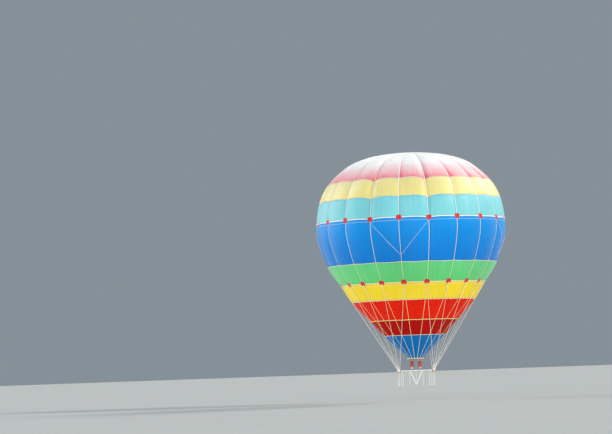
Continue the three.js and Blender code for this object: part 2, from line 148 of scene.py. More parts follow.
class NodeSheet:
    """The nodes of one material, round its Principled shader."""

    def __init__(self, name: str) -> None:
        """Starts a material of that name."""
        self.material = bpy.data.materials.new(name)
        self.material.use_nodes = True
        self.nodes = self.material.node_tree.nodes
        self.links = self.material.node_tree.links
        self.shader = self.nodes["Principled BSDF"]

    def feed(self, socket: Socket, value: object) -> None:
        """Links a socket, or sets its value where no output is given."""
        if isinstance(value, bpy.types.NodeSocket):
            self.links.new(value, socket)
        else:
            socket.default_value = value

    def add(self, kind: str, settings: dict[str, object] | None = None, **inputs: object) -> bpy.types.Node:
        """Adds a node.

        Args:
            kind: The node's type, without ShaderNode before it.
            settings: Properties of the node.
            **inputs: Sockets by name, with _ for a space, each a value or an output to link.

        Returns:
            The node.
        """
        node = self.nodes.new(f"ShaderNode{kind}")
        for key, value in (settings or {}).items():
            setattr(node, key, value)
        for key, value in inputs.items():
            self.feed(node.inputs[key.replace("_", " ")], value)
        return node

    def math(self, operation: str, first: object, second: object = 0.0) -> Socket:
        """Adds one step of arithmetic and gives its result."""
        node = self.add("Math", {"operation": operation})
        self.feed(node.inputs[0], first)
        self.feed(node.inputs[1], second)
        return node.outputs[0]

    def product(self, *factors: object) -> Socket:
        """Multiplies all factors and gives the result."""
        total = factors[0]
        for factor in factors[1:]:
            total = self.math("MULTIPLY", total, factor)
        return total

    def distance(self, first: object, second: object) -> Socket:
        """How far apart two values are."""
        return self.math("ABSOLUTE", self.math("SUBTRACT", first, second))

    def wave(self, value: object, period: float) -> Socket:
        """A sine of value with that period, from -1 to 1."""
        return self.math("SINE", self.math("MULTIPLY", value, FULL_TURN / period))

    def chart(self, name: str) -> Socket:
        """The piece's own map of that name."""
        return self.add("UVMap", {"uv_map": name}).outputs["UV"]

    def object_place(self) -> Socket:
        """Places on the piece in metres."""
        return self.add("TexCoord").outputs["Object"]

    def split(self, vector: Socket) -> tuple[Socket, ...]:
        """The three parts of a vector."""
        return tuple(self.add("SeparateXYZ", Vector=vector).outputs)

    def stretched(self, vector: Socket, scale: tuple[float, float, float]) -> Socket:
        """A vector scaled on each axis."""
        return self.add("Mapping", Vector=vector, Scale=scale).outputs["Vector"]

    def noise(self, vector: Socket, scale: float, detail: float = 2.0) -> Socket:
        """Soft noise from about 0.3 to 0.7."""
        node = self.add("TexNoise", Vector=vector, Scale=scale, Detail=detail, Roughness=0.55)
        return node.outputs["Fac"]

    def fitted(self, value: object, source: Span, target: Span, smooth: bool = False) -> Socket:
        """Fits a value from one range into another.

        Args:
            value: The value to fit.
            source: Its range.
            target: The wanted range.
            smooth: Eases in and out instead of a straight ramp.

        Returns:
            The fitted value, held inside the target.
        """
        node = self.add("MapRange", {"interpolation_type": "SMOOTHSTEP" if smooth else "LINEAR"})
        keys = ("Value", "From Min", "From Max", "To Min", "To Max")
        for key, given in zip(keys, (value, *source, *target)):
            self.feed(node.inputs[key], given)
        return node.outputs["Result"]

    def varied(self, vector: Socket, scale: float, target: Span, detail: float = 2.0) -> Socket:
        """Soft noise spread over a range."""
        return self.fitted(self.noise(vector, scale, detail), NOISE_SPAN, target)

    def blended(self, share: object, first: object, second: object) -> Socket:
        """Mixes two colours by a share of the second."""
        node = self.add("Mix", {"data_type": "RGBA"})
        for index, given in zip((0, 6, 7), (share, first, second)):
            self.feed(node.inputs[index], given)
        return node.outputs[2]

    def shaded(self, colour: object, value: object) -> Socket:
        """Makes a colour lighter or darker by a factor."""
        return self.add("HueSaturation", Color=colour, Value=value).outputs["Color"]

    def faded(self, colour: Colour, height_fade: HeightFade | None, lowered: object = 0.0) -> object:
        """A colour that turns into a paler one with height.

        Args:
            colour: The colour lower down.
            height_fade: The paler colour and where it starts and is reached, or none for one colour.
            lowered: How much later the change comes.

        Returns:
            The colour, or the output that carries it.
        """
        if height_fade is None:
            return linear(colour)
        height = self.math("SUBTRACT", self.split(self.object_place())[2], lowered)
        mottle = self.varied(self.object_place(), height_fade.mottle_scale, (-height_fade.mottle, height_fade.mottle))
        share = self.fitted(self.math("ADD", height, mottle), (height_fade.low, height_fade.high), WHOLE)
        return self.blended(share, linear(colour), linear(height_fade.colour))

    def bump(self, height: object, distance: float, under: Socket | None = None) -> Socket:
        """Adds relief of a height from 0 to 1, that many metres deep, over another relief."""
        node = self.add("Bump", Height=height, Distance=distance, Strength=1.0)
        if under is not None:
            self.feed(node.inputs["Normal"], under)
        return node.outputs["Normal"]

    def finish(self, gloss: dict[str, float] | None = None, **inputs: object) -> bpy.types.Material:
        """Feeds the shader.

        Args:
            gloss: Plain values by the shader's own socket names.
            **inputs: Sockets by name, with _ for a space.

        Returns:
            The finished material.
        """
        for key, value in (gloss or {}).items():
            self.shader.inputs[key].default_value = value
        for key, value in inputs.items():
            self.feed(self.shader.inputs[key.replace("_", " ")], value)
        return self.material


@dataclass(frozen=True)
class FabricFinish:
    """Coated envelope fabric with a fine grid weave, soft creases and a shade of its own on each gore.

    Where it has a hem, the piece has a map of the distances from its two level edges.
    """

    name: str
    colour: Colour
    tone_seed: float = 0.0
    sheen: float = 0.0
    specular: float = 0.06
    hem: float = 0.0
    painted_pleat_shade: float = 0.045
    painted_crease_shade: float = 0.0
    # On the bands a paler colour higher up, which is painted light, and on the crown a painted highlight
    height_fade: HeightFade | None = None
    gore_tones: Span = (0.965, 1.03)
    cloud_tones: Span = (0.955, 1.04)
    seam_shade: float = 0.95
    hem_shade: float = 0.94
    stitch_shade: float = 0.88
    stitch_span: Span = (0.002, 0.005)
    grid: float = 0.008
    rib_depth: float = 0.0003
    crinkle_depth: float = 0.012
    roughness: Span = (0.42, 0.56)

    def material(self) -> bpy.types.Material:
        """Builds the material, with tones by gore and in clouds, painted shade and light of pleats in
        streaks, darker along seams and hems.
        """
        sheet = NodeSheet(self.name)
        gores = sheet.chart("gore")
        place = sheet.object_place()
        across = sheet.split(gores)[0]
        gore = sheet.math("ADD", sheet.math("FLOOR", across), self.tone_seed)
        own = sheet.add("TexWhiteNoise", {"noise_dimensions": "1D"}, W=gore).outputs["Value"]
        # Painted shade and light of pleats, in streaks along the gores
        pleat_shade_place = sheet.stretched(gores, (11.0, 0.4, 1.0))
        after_seam = sheet.math("FRACT", across)
        tones = [
            sheet.fitted(own, WHOLE, self.gore_tones),
            sheet.varied(place, scale=0.5, target=self.cloud_tones, detail=3.0),
            sheet.varied(pleat_shade_place, scale=1.0, target=(1.0 - self.painted_pleat_shade, 1.0 + 0.8 * self.painted_pleat_shade), detail=3.0),
            # Darker along the seam valleys: partly dirt in the fold, partly painted shade
            sheet.fitted(sheet.distance(after_seam, 0.5), (0.42, 0.5), (1.0, self.seam_shade), smooth=True),
        ]
        if self.hem > 0.0:
            from_low, from_high, _ = sheet.split(sheet.chart("edge"))
            inside = sheet.math("SUBTRACT", sheet.math("MINIMUM", from_low, from_high), self.hem)
            tones.append(sheet.fitted(inside, (-0.004, 0.0), (self.hem_shade, 1.0)))
            stitched = (self.stitch_shade, 1.0)
            tones.append(sheet.fitted(sheet.math("ABSOLUTE", inside), self.stitch_span, stitched))
        # Painted shade in the creases: the paler colour comes later just after each seam
        crease_shade_lag = sheet.fitted(after_seam, (0.0, 0.25), (self.painted_crease_shade, 0.0), smooth=True)
        weft, warp, _ = sheet.split(sheet.chart("cloth"))
        weave = sheet.math("MAXIMUM", sheet.wave(weft, self.grid), sheet.wave(warp, self.grid))
        ribs = sheet.fitted(weave, (0.9, 1.0), WHOLE)
        crinkle = sheet.bump(sheet.noise(place, scale=9.0, detail=4.0), self.crinkle_depth)
        return sheet.finish(
            {"Sheen Weight": self.sheen, "Sheen Roughness": 0.45, "Specular IOR Level": self.specular},
            Base_Color=sheet.shaded(sheet.faded(self.colour, self.height_fade, crease_shade_lag), sheet.product(*tones)),
            Roughness=sheet.varied(place, scale=3.0, target=self.roughness, detail=3.0),
            Normal=sheet.bump(ribs, self.rib_depth, crinkle),
        )


@dataclass(frozen=True)
class WebbingFinish:
    """Woven tape with ribs across it and a row of stitches near each edge."""

    name: str
    colour: Colour
    rib: float = 0.004
    rib_depth: float = 0.0004
    stitch: float = 0.009
    stitch_share: float = 0.8
    stitch_width: float = 0.09
    stitch_shade: float = 0.82
    stitch_depth: float = 0.0008
    soil: float = 0.9
    height_fade: HeightFade | None = None

    def material(self) -> bpy.types.Material:
        """Builds the material."""
        sheet = NodeSheet(self.name)
        around, along, _ = sheet.split(sheet.chart("cloth"))
        side = sheet.math("ABSOLUTE", sheet.wave(around, 1.0))
        slanted = sheet.math("ADD", along, sheet.math("MULTIPLY", side, self.rib))
        ribs = sheet.fitted(sheet.wave(slanted, self.rib), (-1.0, 1.0), WHOLE)
        row = sheet.fitted(sheet.distance(side, self.stitch_share), (0.0, self.stitch_width), (1.0, 0.0))
        dashes = sheet.fitted(sheet.wave(along, self.stitch), (-0.5, 0.1), WHOLE)
        stitches = sheet.math("MULTIPLY", row, dashes)
        place = sheet.object_place()
        soil = sheet.varied(place, scale=1.6, target=(self.soil, 1.03), detail=4.0)
        thread = sheet.fitted(stitches, WHOLE, (1.0, self.stitch_shade))
        return sheet.finish(
            {"Sheen Weight": 0.2, "Sheen Roughness": 0.5, "Specular IOR Level": 0.35},
            Base_Color=sheet.shaded(sheet.faded(self.colour, self.height_fade), sheet.product(soil, thread)),
            Roughness=sheet.varied(place, scale=20.0, target=(0.62, 0.78)),
            Normal=sheet.bump(stitches, self.stitch_depth, sheet.bump(ribs, self.rib_depth)),
        )


@dataclass(frozen=True)
class RopeFinish:
    """Laid rope: strands that wind round it, with painted shade in the grooves and a little soil."""

    name: str
    colour: Colour
    strands: int = 3
    lay: float = 0.07
    fibres: float = 40.0
    fibre_lay: float = -0.004
    soil: float = 0.88
    groove_painted_shade: float = 0.72

    def wound(self, sheet: NodeSheet, around: Socket, along: Socket, count: float, lay: float) -> Socket:
        """Counts the strands that wind round the rope, one turn of it in each lay."""
        turned = sheet.math("MULTIPLY", around, count)
        return sheet.math("ADD", turned, sheet.math("DIVIDE", along, lay))

    def material(self) -> bpy.types.Material:
        """Builds the material."""
        sheet = NodeSheet(self.name)
        around, along, _ = sheet.split(sheet.chart("cloth"))
        winding = self.wound(sheet, around, along, self.strands, self.lay)
        strand = sheet.math("ABSOLUTE", sheet.wave(winding, 2.0))
        fibre = sheet.wave(self.wound(sheet, around, along, self.fibres, self.fibre_lay), 1.0)
        place = sheet.object_place()
        soil = sheet.varied(place, scale=2.2, target=(self.soil, 1.04), detail=4.0)
        # Painted shade in the grooves between the strands
        groove = sheet.fitted(strand, (0.0, 0.5), (self.groove_painted_shade, 1.0))
        fuzz = sheet.fitted(fibre, (-1.0, 1.0), WHOLE)
        return sheet.finish(
            {"Sheen Weight": 0.25, "Sheen Roughness": 0.6, "Specular IOR Level": 0.3},
            Base_Color=sheet.shaded(linear(self.colour), sheet.product(soil, groove)),
            Roughness=sheet.varied(place, scale=30.0, target=(0.7, 0.88)),
            Normal=sheet.bump(fuzz, 0.0002, sheet.bump(strand, 0.003)),
        )


@dataclass(frozen=True)
class PatchFinish:
    """Round reinforcing patch: heavy cloth sewn down with rings of stitches. Its map is its own plane."""

    name: str
    colour: Colour
    rings: tuple[float, ...] = (0.137, 0.128, 0.06)
    ring_width: float = 0.0025
    stitch_shade: float = 0.7
    grid: float = 0.006
    worn_rim: Span = (0.1, 0.15)
    worn_shade: float = 0.86

    def material(self) -> bpy.types.Material:
        """Builds the material."""
        sheet = NodeSheet(self.name)
        plane = sheet.chart("cloth")
        x, y, _ = sheet.split(plane)
        reach = sheet.add("VectorMath", {"operation": "LENGTH"}, Vector=plane).outputs["Value"]
        stitches = 0.0
        for ring in self.rings:
            row = sheet.fitted(sheet.distance(reach, ring), (0.0, self.ring_width), (1.0, 0.0))
            stitches = sheet.math("MAXIMUM", stitches, row)
        weave = sheet.math("MAXIMUM", sheet.wave(x, self.grid), sheet.wave(y, self.grid))
        place = sheet.object_place()
        soil = sheet.varied(place, scale=6.0, target=(0.9, 1.06), detail=3.0)
        worn = sheet.fitted(reach, self.worn_rim, (1.0, self.worn_shade))
        thread = sheet.fitted(stitches, WHOLE, (1.0, self.stitch_shade))
        cloth = sheet.bump(sheet.fitted(weave, WHOLE, WHOLE), 0.0004)
        return sheet.finish(
            {"Sheen Weight": 0.25, "Sheen Roughness": 0.5, "Specular IOR Level": 0.4},
            Base_Color=sheet.shaded(linear(self.colour), sheet.product(soil, worn, thread)),
            Roughness=sheet.varied(place, scale=12.0, target=(0.5, 0.66)),
            Normal=sheet.bump(stitches, 0.001, cloth),
        )


@dataclass(frozen=True)
class PaintFinish:
    """Painted tube: satin paint with orange peel, dull spots and a little road dust."""

    name: str
    colour: Colour
    dust: Colour = (150, 140, 122)
    dust_span: Span = (0.5, 0.72)
    dust_share: float = 0.4
    scuff_span: Span = (0.62, 0.7)
    scuff_share: float = 0.35

    def material(self) -> bpy.types.Material:
        """Builds the material."""
        sheet = NodeSheet(self.name)
        place = sheet.object_place()
        dust = sheet.noise(place, scale=5.0, detail=5.0)
        dusty = sheet.fitted(dust, self.dust_span, (0.0, self.dust_share))
        marks = sheet.noise(sheet.stretched(place, (3.0, 3.0, 14.0)), scale=6.0, detail=5.0)
        scuffs = sheet.fitted(marks, self.scuff_span, (0.0, self.scuff_share))
        worn = sheet.math("MAXIMUM", dusty, scuffs)
        return sheet.finish(
            {"Coat Weight": 0.25, "Coat Roughness": 0.2},
            Base_Color=sheet.blended(worn, linear(self.colour), linear(self.dust)),
            Roughness=sheet.varied(place, scale=11.0, target=(0.28, 0.5), detail=4.0),
            Normal=sheet.bump(sheet.noise(place, scale=260.0), 0.0003),
        )


@dataclass(frozen=True)
class MetalFinish:
    """Brushed or cast metal with fine marks and a duller bloom in places."""

    name: str
    colour: Colour
    roughness: float = 0.32
    bloom: Span = (0.82, 1.04)

    def material(self) -> bpy.types.Material:
        """Builds the material."""
        sheet = NodeSheet(self.name)
        place = sheet.object_place()
        marks = sheet.noise(sheet.stretched(place, (1.0, 1.0, 9.0)), scale=90.0, detail=3.0)
        rough = (self.roughness - 0.08, self.roughness + 0.14)
        bloom = sheet.varied(place, scale=14.0, target=self.bloom, detail=4.0)
        return sheet.finish(
            {"Metallic": 1.0},
            Base_Color=sheet.shaded(linear(self.colour), bloom),
            Roughness=sheet.fitted(marks, NOISE_SPAN, rough),
            Normal=sheet.bump(marks, 0.0002),
        )


@dataclass(frozen=True)
class FloorFinish:
    """Plain pale studio floor."""

    name: str
    colour: Colour

    def material(self) -> bpy.types.Material:
        """Builds the material."""
        sheet = NodeSheet(self.name)
        grain = sheet.varied(sheet.object_place(), scale=0.15, target=(0.98, 1.02), detail=3.0)
        colour = sheet.shaded(linear(self.colour), grain)
        return sheet.finish({"Roughness": 0.95, "Specular IOR Level": 0.1}, Base_Color=colour)


Finish = FabricFinish | WebbingFinish | RopeFinish | PatchFinish | PaintFinish | MetalFinish | FloorFinish


@cache
def material_of(finish: Finish) -> bpy.types.Material:
    """Builds each finish once."""
    return finish.material()


# The cream tape turns nearly white between these heights
WHITER_UP_HIGH = HeightFade((252, 252, 248), low=4.4, high=8.0)
CREAM_TAPE = WebbingFinish("cream_load_tape", (240, 232, 150), height_fade=WHITER_UP_HIGH)
WHITE_TAPE = WebbingFinish("white_girdle_tape", (250, 248, 240))
SEAM_TAPE = WebbingFinish("thin_seam_tape", (240, 236, 212))
# A pale hem tape greyed: partly its own colour, partly painted shade under the envelope
SHADED_HEM_TAPE = WebbingFinish("throat_hem_shaded_tape", (152, 138, 126))
WHITE_WEBBING = WebbingFinish("white_webbing", (240, 236, 224), rib=0.003, stitch_share=0.7)
ORANGE_STRAP = WebbingFinish("orange_strap", (206, 112, 40), rib=0.002, soil=0.8)
RED_STRAP = WebbingFinish("red_patch_strap", (204, 20, 18), rib=0.002, soil=0.9)
CREAM_ROPE = RopeFinish("cream_rope", (248, 243, 226))
PALE_CORD = RopeFinish("pale_cord", (214, 222, 222), lay=0.04)
GIRDLE_PATCH = PatchFinish("girdle_patch_red", (222, 38, 42))
STAY_PATCH = PatchFinish("stay_patch_red", (216, 18, 16))
SLEEVE_CLOTH = FabricFinish("sleeve_red", (190, 96, 94), tone_seed=90.0)
SLEEVE_LINING = FabricFinish("sleeve_pale_end", (244, 240, 230), tone_seed=95.0)
# A pale hem cloth greyed: partly its own colour, partly painted shade under the envelope
SHADED_HEM_CLOTH = FabricFinish("throat_hem_shaded_cloth", (150, 138, 130), tone_seed=97.0)
PLATE_CLOTH = FabricFinish("closing_panel_blue", (8, 92, 180), tone_seed=60.0)
VALVE_CLOTH = FabricFinish("valve_off_white", (247, 232, 228), tone_seed=70.0)
WHITE_PAINT = PaintFinish("white_frame_paint", (232, 230, 222))
STEEL = MetalFinish("plated_steel", (186, 188, 190))
ALUMINIUM = MetalFinish("cast_aluminium", (206, 208, 210), roughness=0.42)


def outward(turn: float) -> Vector:
    """The level direction away from the axis at a turn."""
    return Vector((math.sin(turn), -math.cos(turn), 0.0))


def sideways(turn: float) -> Vector:
    """The level direction round the balloon at a turn."""
    return Vector((math.cos(turn), math.sin(turn), 0.0))


def polar(turn: Array, reach: Array, *height: Array) -> Array:
    """Rows of x and y, and z where heights are given, from turns and reaches from the axis."""
    return np.stack((reach * np.sin(turn), -reach * np.cos(turn), *height), axis=1)


def axes(side: Vector, up: Vector, out: Vector, at: Vector) -> Matrix:
    """A frame with those directions for X, Y and Z, standing at a point."""
    turned = Matrix((side, up, out)).transposed().to_4x4()
    turned.translation = at
    return turned


def fuller(wave: Array, squareness: float) -> Array:
    """A sine or cosine turned into a section's outline, with fuller corners for a lower squareness."""
    return np.sign(wave) * np.abs(wave) ** squareness


def raised(height: float) -> Matrix:
    """A move upwards."""
    return move((0.0, 0.0, height))


def closed_up(shape: Shape) -> None:
    """Closes poles and open ends and turns all faces outwards."""
    bmesh.ops.remove_doubles(shape, verts=shape.verts[:], dist=MERGE_DISTANCE)
    rims = [edge for edge in shape.edges if edge.is_boundary]
    if rims:
        bmesh.ops.holes_fill(shape, edges=rims, sides=0)
    bmesh.ops.recalc_face_normals(shape, faces=shape.faces[:])


def unit_cylinder(columns: int, rows: int) -> Shape:
    """Spins an upright edge into an open cylinder of radius 1 and height 1, with its faces outwards."""
    shape = bmesh.new()
    ends = [shape.verts.new((0.0, -1.0, height)) for height in (0.0, 1.0)]
    edge = shape.edges.new(ends)
    if rows > 1:
        bmesh.ops.subdivide_edges(shape, edges=[edge], cuts=rows - 1)
    geometry = shape.verts[:] + shape.edges[:]
    bmesh.ops.spin(shape, geom=geometry, axis=UP, angle=FULL_TURN, steps=columns, use_merge=True)
    bmesh.ops.remove_doubles(shape, verts=shape.verts[:], dist=MERGE_DISTANCE)
    bmesh.ops.recalc_face_normals(shape, faces=shape.faces[:])
    return shape


def spun(
    columns: int, rows: int, place: Places, charts: dict[str, Places], wraps: bool = True, closed: bool = True
) -> Shape:
    """Spins a cylinder, maps it and bends it into its real form.

    Args:
        columns: Faces round it.
        rows: Faces up it.
        place: Gives the real places of points from their turn and their share of the height.
        charts: The piece's maps, each from turn and height to two columns. Turns run on past a full turn at
            the join, so that no face is stretched over a whole map.
        wraps: False for maps that don't follow the turn.
        closed: False leaves the ends open.

    Returns:
        The shape with its faces outwards.
    """
    shape = unit_cylinder(columns, rows)
    shape.verts.index_update()
    flat = np.array([vertex.co[:] for vertex in shape.verts])
    turn = np.arctan2(flat[:, 0], -flat[:, 1]) % FULL_TURN
    turn[turn > FULL_TURN - TINY] = 0.0
    layers = [shape.loops.layers.uv.new(name) for name in charts]
    loops = [loop for face in shape.faces for loop in face.loops]
    owners = np.array([loop.vert.index for loop in loops])
    sizes = [len(face.loops) for face in shape.faces]
    loop_turn = turn[owners]
    if wraps:
        starts = np.cumsum([0, *sizes[:-1]])
        highest = np.repeat(np.maximum.reduceat(loop_turn, starts), sizes)
        loop_turn = np.where(highest - loop_turn > math.pi, loop_turn + FULL_TURN, loop_turn)
    for layer, chart in zip(layers, charts.values()):
        for loop, spot in zip(loops, chart(loop_turn, flat[owners, 2])):
            loop[layer].uv = spot
    for vertex, spot in zip(shape.verts, place(turn, flat[:, 2])):
        vertex.co = spot
    if closed:
        closed_up(shape)
    return shape


def lathed(
    profile: Sequence[Span], columns: int, folds: Places | None = None, closed: bool = True
) -> Shape:
    """Turns a profile round Z.

    Args:
        profile: Radius and height of each point. A closed shape's ends on the axis or closes on itself.
        columns: Faces round it.
        folds: Factor on the radius from the turn and the share along the profile.
        closed: False leaves the ends open.

    Returns:
        The shape with faces outwards.
    """
    rows = len(profile) - 1
    points = np.array(profile)
    reach = float(np.linalg.norm(np.diff(points, axis=0), axis=1).sum())
    around = float(points[:, 0].max())

    def place(turn: Array, share: Array) -> Array:
        """Sets each point on the profile."""
        radius, height = points[nearest(share, rows)].T
        if folds is not None:
            radius = radius * folds(turn, share)
        return polar(turn, radius, height)

    # Metres round the widest place and along the profile
    charts = {"cloth": lambda turn, share: np.stack((turn * around, share * reach), axis=1)}
    return spun(columns, rows, place, charts, closed=closed)


def wire_ring(radius: float, wire: float, columns: int = 20, steps: int = 8) -> Shape:
    """A ring of round wire round Z, from its radius to the middle of the wire and the wire's own radius."""
    angles = [FULL_TURN * step / steps for step in range(steps + 1)]
    return lathed([(radius + wire * math.cos(angle), wire * math.sin(angle)) for angle in angles], columns)


def cuff_profile(inner: float, outer: float, half: float, soft: Span) -> list[Span]:
    """The profile of a flat band round Z.

    Args:
        inner: Radius inside it.
        outer: Radius outside it.
        half: Half its width along Z.
        soft: How far its outer rims are rounded off, in radius and along Z.

    Returns:
        The closed profile.
    """
    inwards, along = soft
    up = [(outer, half - along), (outer - inwards, half), (inner, half)]
    return [(inner, -half), (outer - inwards, -half), (outer, along - half), *up, (inner, -half)]


def route_frames(route: Sequence[Vector], across: Vector | None = None, closed: bool = False) -> list[Matrix]:
    """Frames along a route, Z along it, carried on without twist.

    Args:
        route: Points of the route.
        across: Where given, local X keeps to this direction.
        closed: The last point joins the first.

    Returns:
        One frame for each point.
    """
    last = len(route) - 1
    side = across
    before = None
    frames = []
    for index, point in enumerate(route):
        behind = route[index - 1] if index > 0 or closed else point
        ahead = route[(index + 1) % (last + 1)] if index < last or closed else point
        heading = (ahead - behind).normalized()
        if side is None:
            side = heading.orthogonal()
        elif across is None:
            side = side.copy()
            side.rotate(before.rotation_difference(heading))
        square = (side - heading * side.dot(heading)).normalized()
        if across is None:
            side = square
        before = heading
        frames.append(axes(square, heading.cross(square), heading, point))
    return frames


def swept(
    route: Sequence[Vector], half_width: float, half_depth: float, sides: int,
    across: Vector | None = None, squareness: float = 1.0, closed: bool = False,
) -> Shape:
    """Sweeps a round or flat section along a route.

    Args:
        route: Points of the route.
        half_width: Half the section across.
        half_depth: Half the section the other way.
        sides: Faces round the section.
        across: Direction of the section's width, or none for a rope.
        squareness: 1 for a round section, less for one with fuller corners.
        closed: The route is a loop.

    Returns:
        A closed shape.
    """
    points = list(route) + ([route[0]] if closed else [])
    frames = np.array([list(map(list, matrix)) for matrix in route_frames(route, across, closed)])
    if closed:
        frames = np.concatenate((frames, frames[:1]))
    rows = len(points) - 1
    spans = [(after - before).length for before, after in zip(points, points[1:])]
    travelled = np.cumsum([0.0, *spans])

    def place(turn: Array, share: Array) -> Array:
        """Sets each point on the section at its frame."""
        at = frames[nearest(share, rows)]
        x = half_width * fuller(np.sin(turn), squareness)
        y = half_depth * fuller(-np.cos(turn), squareness)
        return at[:, :3, 3] + at[:, :3, 0] * x[:, None] + at[:, :3, 1] * y[:, None]

    def chart(turn: Array, share: Array) -> Array:
        """Turn as a share, and metres along the route."""
        return np.stack((turn / FULL_TURN, travelled[nearest(share, rows)]), axis=1)

    return spun(sides, rows, place, {"cloth": chart})


def rope(route: Sequence[Vector], radius: float, sides: int = 8, closed: bool = False) -> Shape:
    """A rope along a route."""
    return swept(route, radius, radius, sides, closed=closed)


# Corners of a flat strap's section, from 1 for an oval to 0 for a sharp box
STRAP_SQUARENESS = 0.35


def strap(route: Sequence[Vector], across: Vector, width: float, thickness: float) -> Shape:
    """A flat strap along a route, with its width across."""
    return swept(route, width / 2.0, thickness / 2.0, sides=12, across=across, squareness=STRAP_SQUARENESS)


def softened(shape: Shape, edges: list[bmesh.types.BMEdge], rounding: float, segments: int) -> Shape:
    """Rounds edges off and gives the shape an empty map."""
    rim = {"geom": edges, "offset": rounding, "segments": segments, "clamp_overlap": True}
    bmesh.ops.bevel(shape, **rim, profile=0.5, affect="EDGES", material=-1)
    shape.loops.layers.uv.new("cloth")
    return shape


def block(size: Vector, rounding: float) -> Shape:
    """A block about the origin with rounded edges."""
    shape = bmesh.new()
    bmesh.ops.create_cube(shape, size=1.0, matrix=Matrix.Diagonal((*size, 1.0)))
    return softened(shape, shape.edges[:], rounding, segments=3)


def rod(radius: float, length: float, sides: int, rounding: float) -> Shape:
    """A rod along Z about the origin with rounded rims."""
    shape = bmesh.new()
    size = {"radius1": radius, "radius2": radius, "depth": length}
    bmesh.ops.create_cone(shape, cap_ends=True, segments=sides, **size)
    rims = [edge for edge in shape.edges if abs(edge.verts[0].co.z - edge.verts[1].co.z) < TINY]
    return softened(shape, rims, rounding, segments=2)


# Edges that turn by more than this stay sharp
SHARP_OVER = math.radians(40.0)


class Assembly:
    """Collects shapes into the mesh of one piece."""

    def __init__(self) -> None:
        """Starts with nothing in it."""
        self.shape = bmesh.new()
        self.finishes: list[Finish] = []

    def add(self, part: Shape, finish: Finish, at: Matrix | None = None) -> "Assembly":
        """Adds a part.

        Args:
            part: The part, which is used up.
            finish: What it is finished with.
            at: Where it goes.

        Returns:
            The assembly.
        """
        if finish not in self.finishes:
            self.finishes.append(finish)
        slot = self.finishes.index(finish)
        for face in part.faces:
            face.material_index = slot
            face.smooth = True
        mesh = bpy.data.meshes.new("part")
        part.to_mesh(mesh)
        if at is not None:
            mesh.transform(at)
            if at.determinant() < 0.0:
                mesh.flip_normals()
        self.shape.from_mesh(mesh)
        bpy.data.meshes.remove(mesh)
        part.free()
        return self

    def piece(
        self, name: str, slot: Slot, stands_for: Iterable[str] = (), body: Body = Body.BALLOON
    ) -> bpy.types.Object:
        """Makes the piece.

        Args:
            name: Its name.
            slot: The record's slot that it takes its finish from; not used.
            stands_for: CAD nodes that it replaces.
            body: The body that it rides on.

        Returns:
            The piece's object.
        """
        mesh = bpy.data.meshes.new(name)
        self.shape.to_mesh(mesh)
        self.shape.free()
        mesh.set_sharp_from_angle(angle=SHARP_OVER)
        for finish in self.finishes:
            mesh.materials.append(material_of(finish))
        made = bpy.data.objects.new(name, mesh)
        bpy.context.scene.collection.objects.link(made)
        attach(made, body.value)
        for node in stands_for:
            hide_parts(node)
        LOG.info("%s: %d faces", name, len(mesh.polygons))
        return made


def thicken(piece: bpy.types.Object, thickness: float) -> None:
    """Gives an open cloth its thickness, inwards from the surface that was drawn."""
    modifier = piece.modifiers.new("thickness", "SOLIDIFY")
    modifier.thickness = thickness
    modifier.offset = -1.0


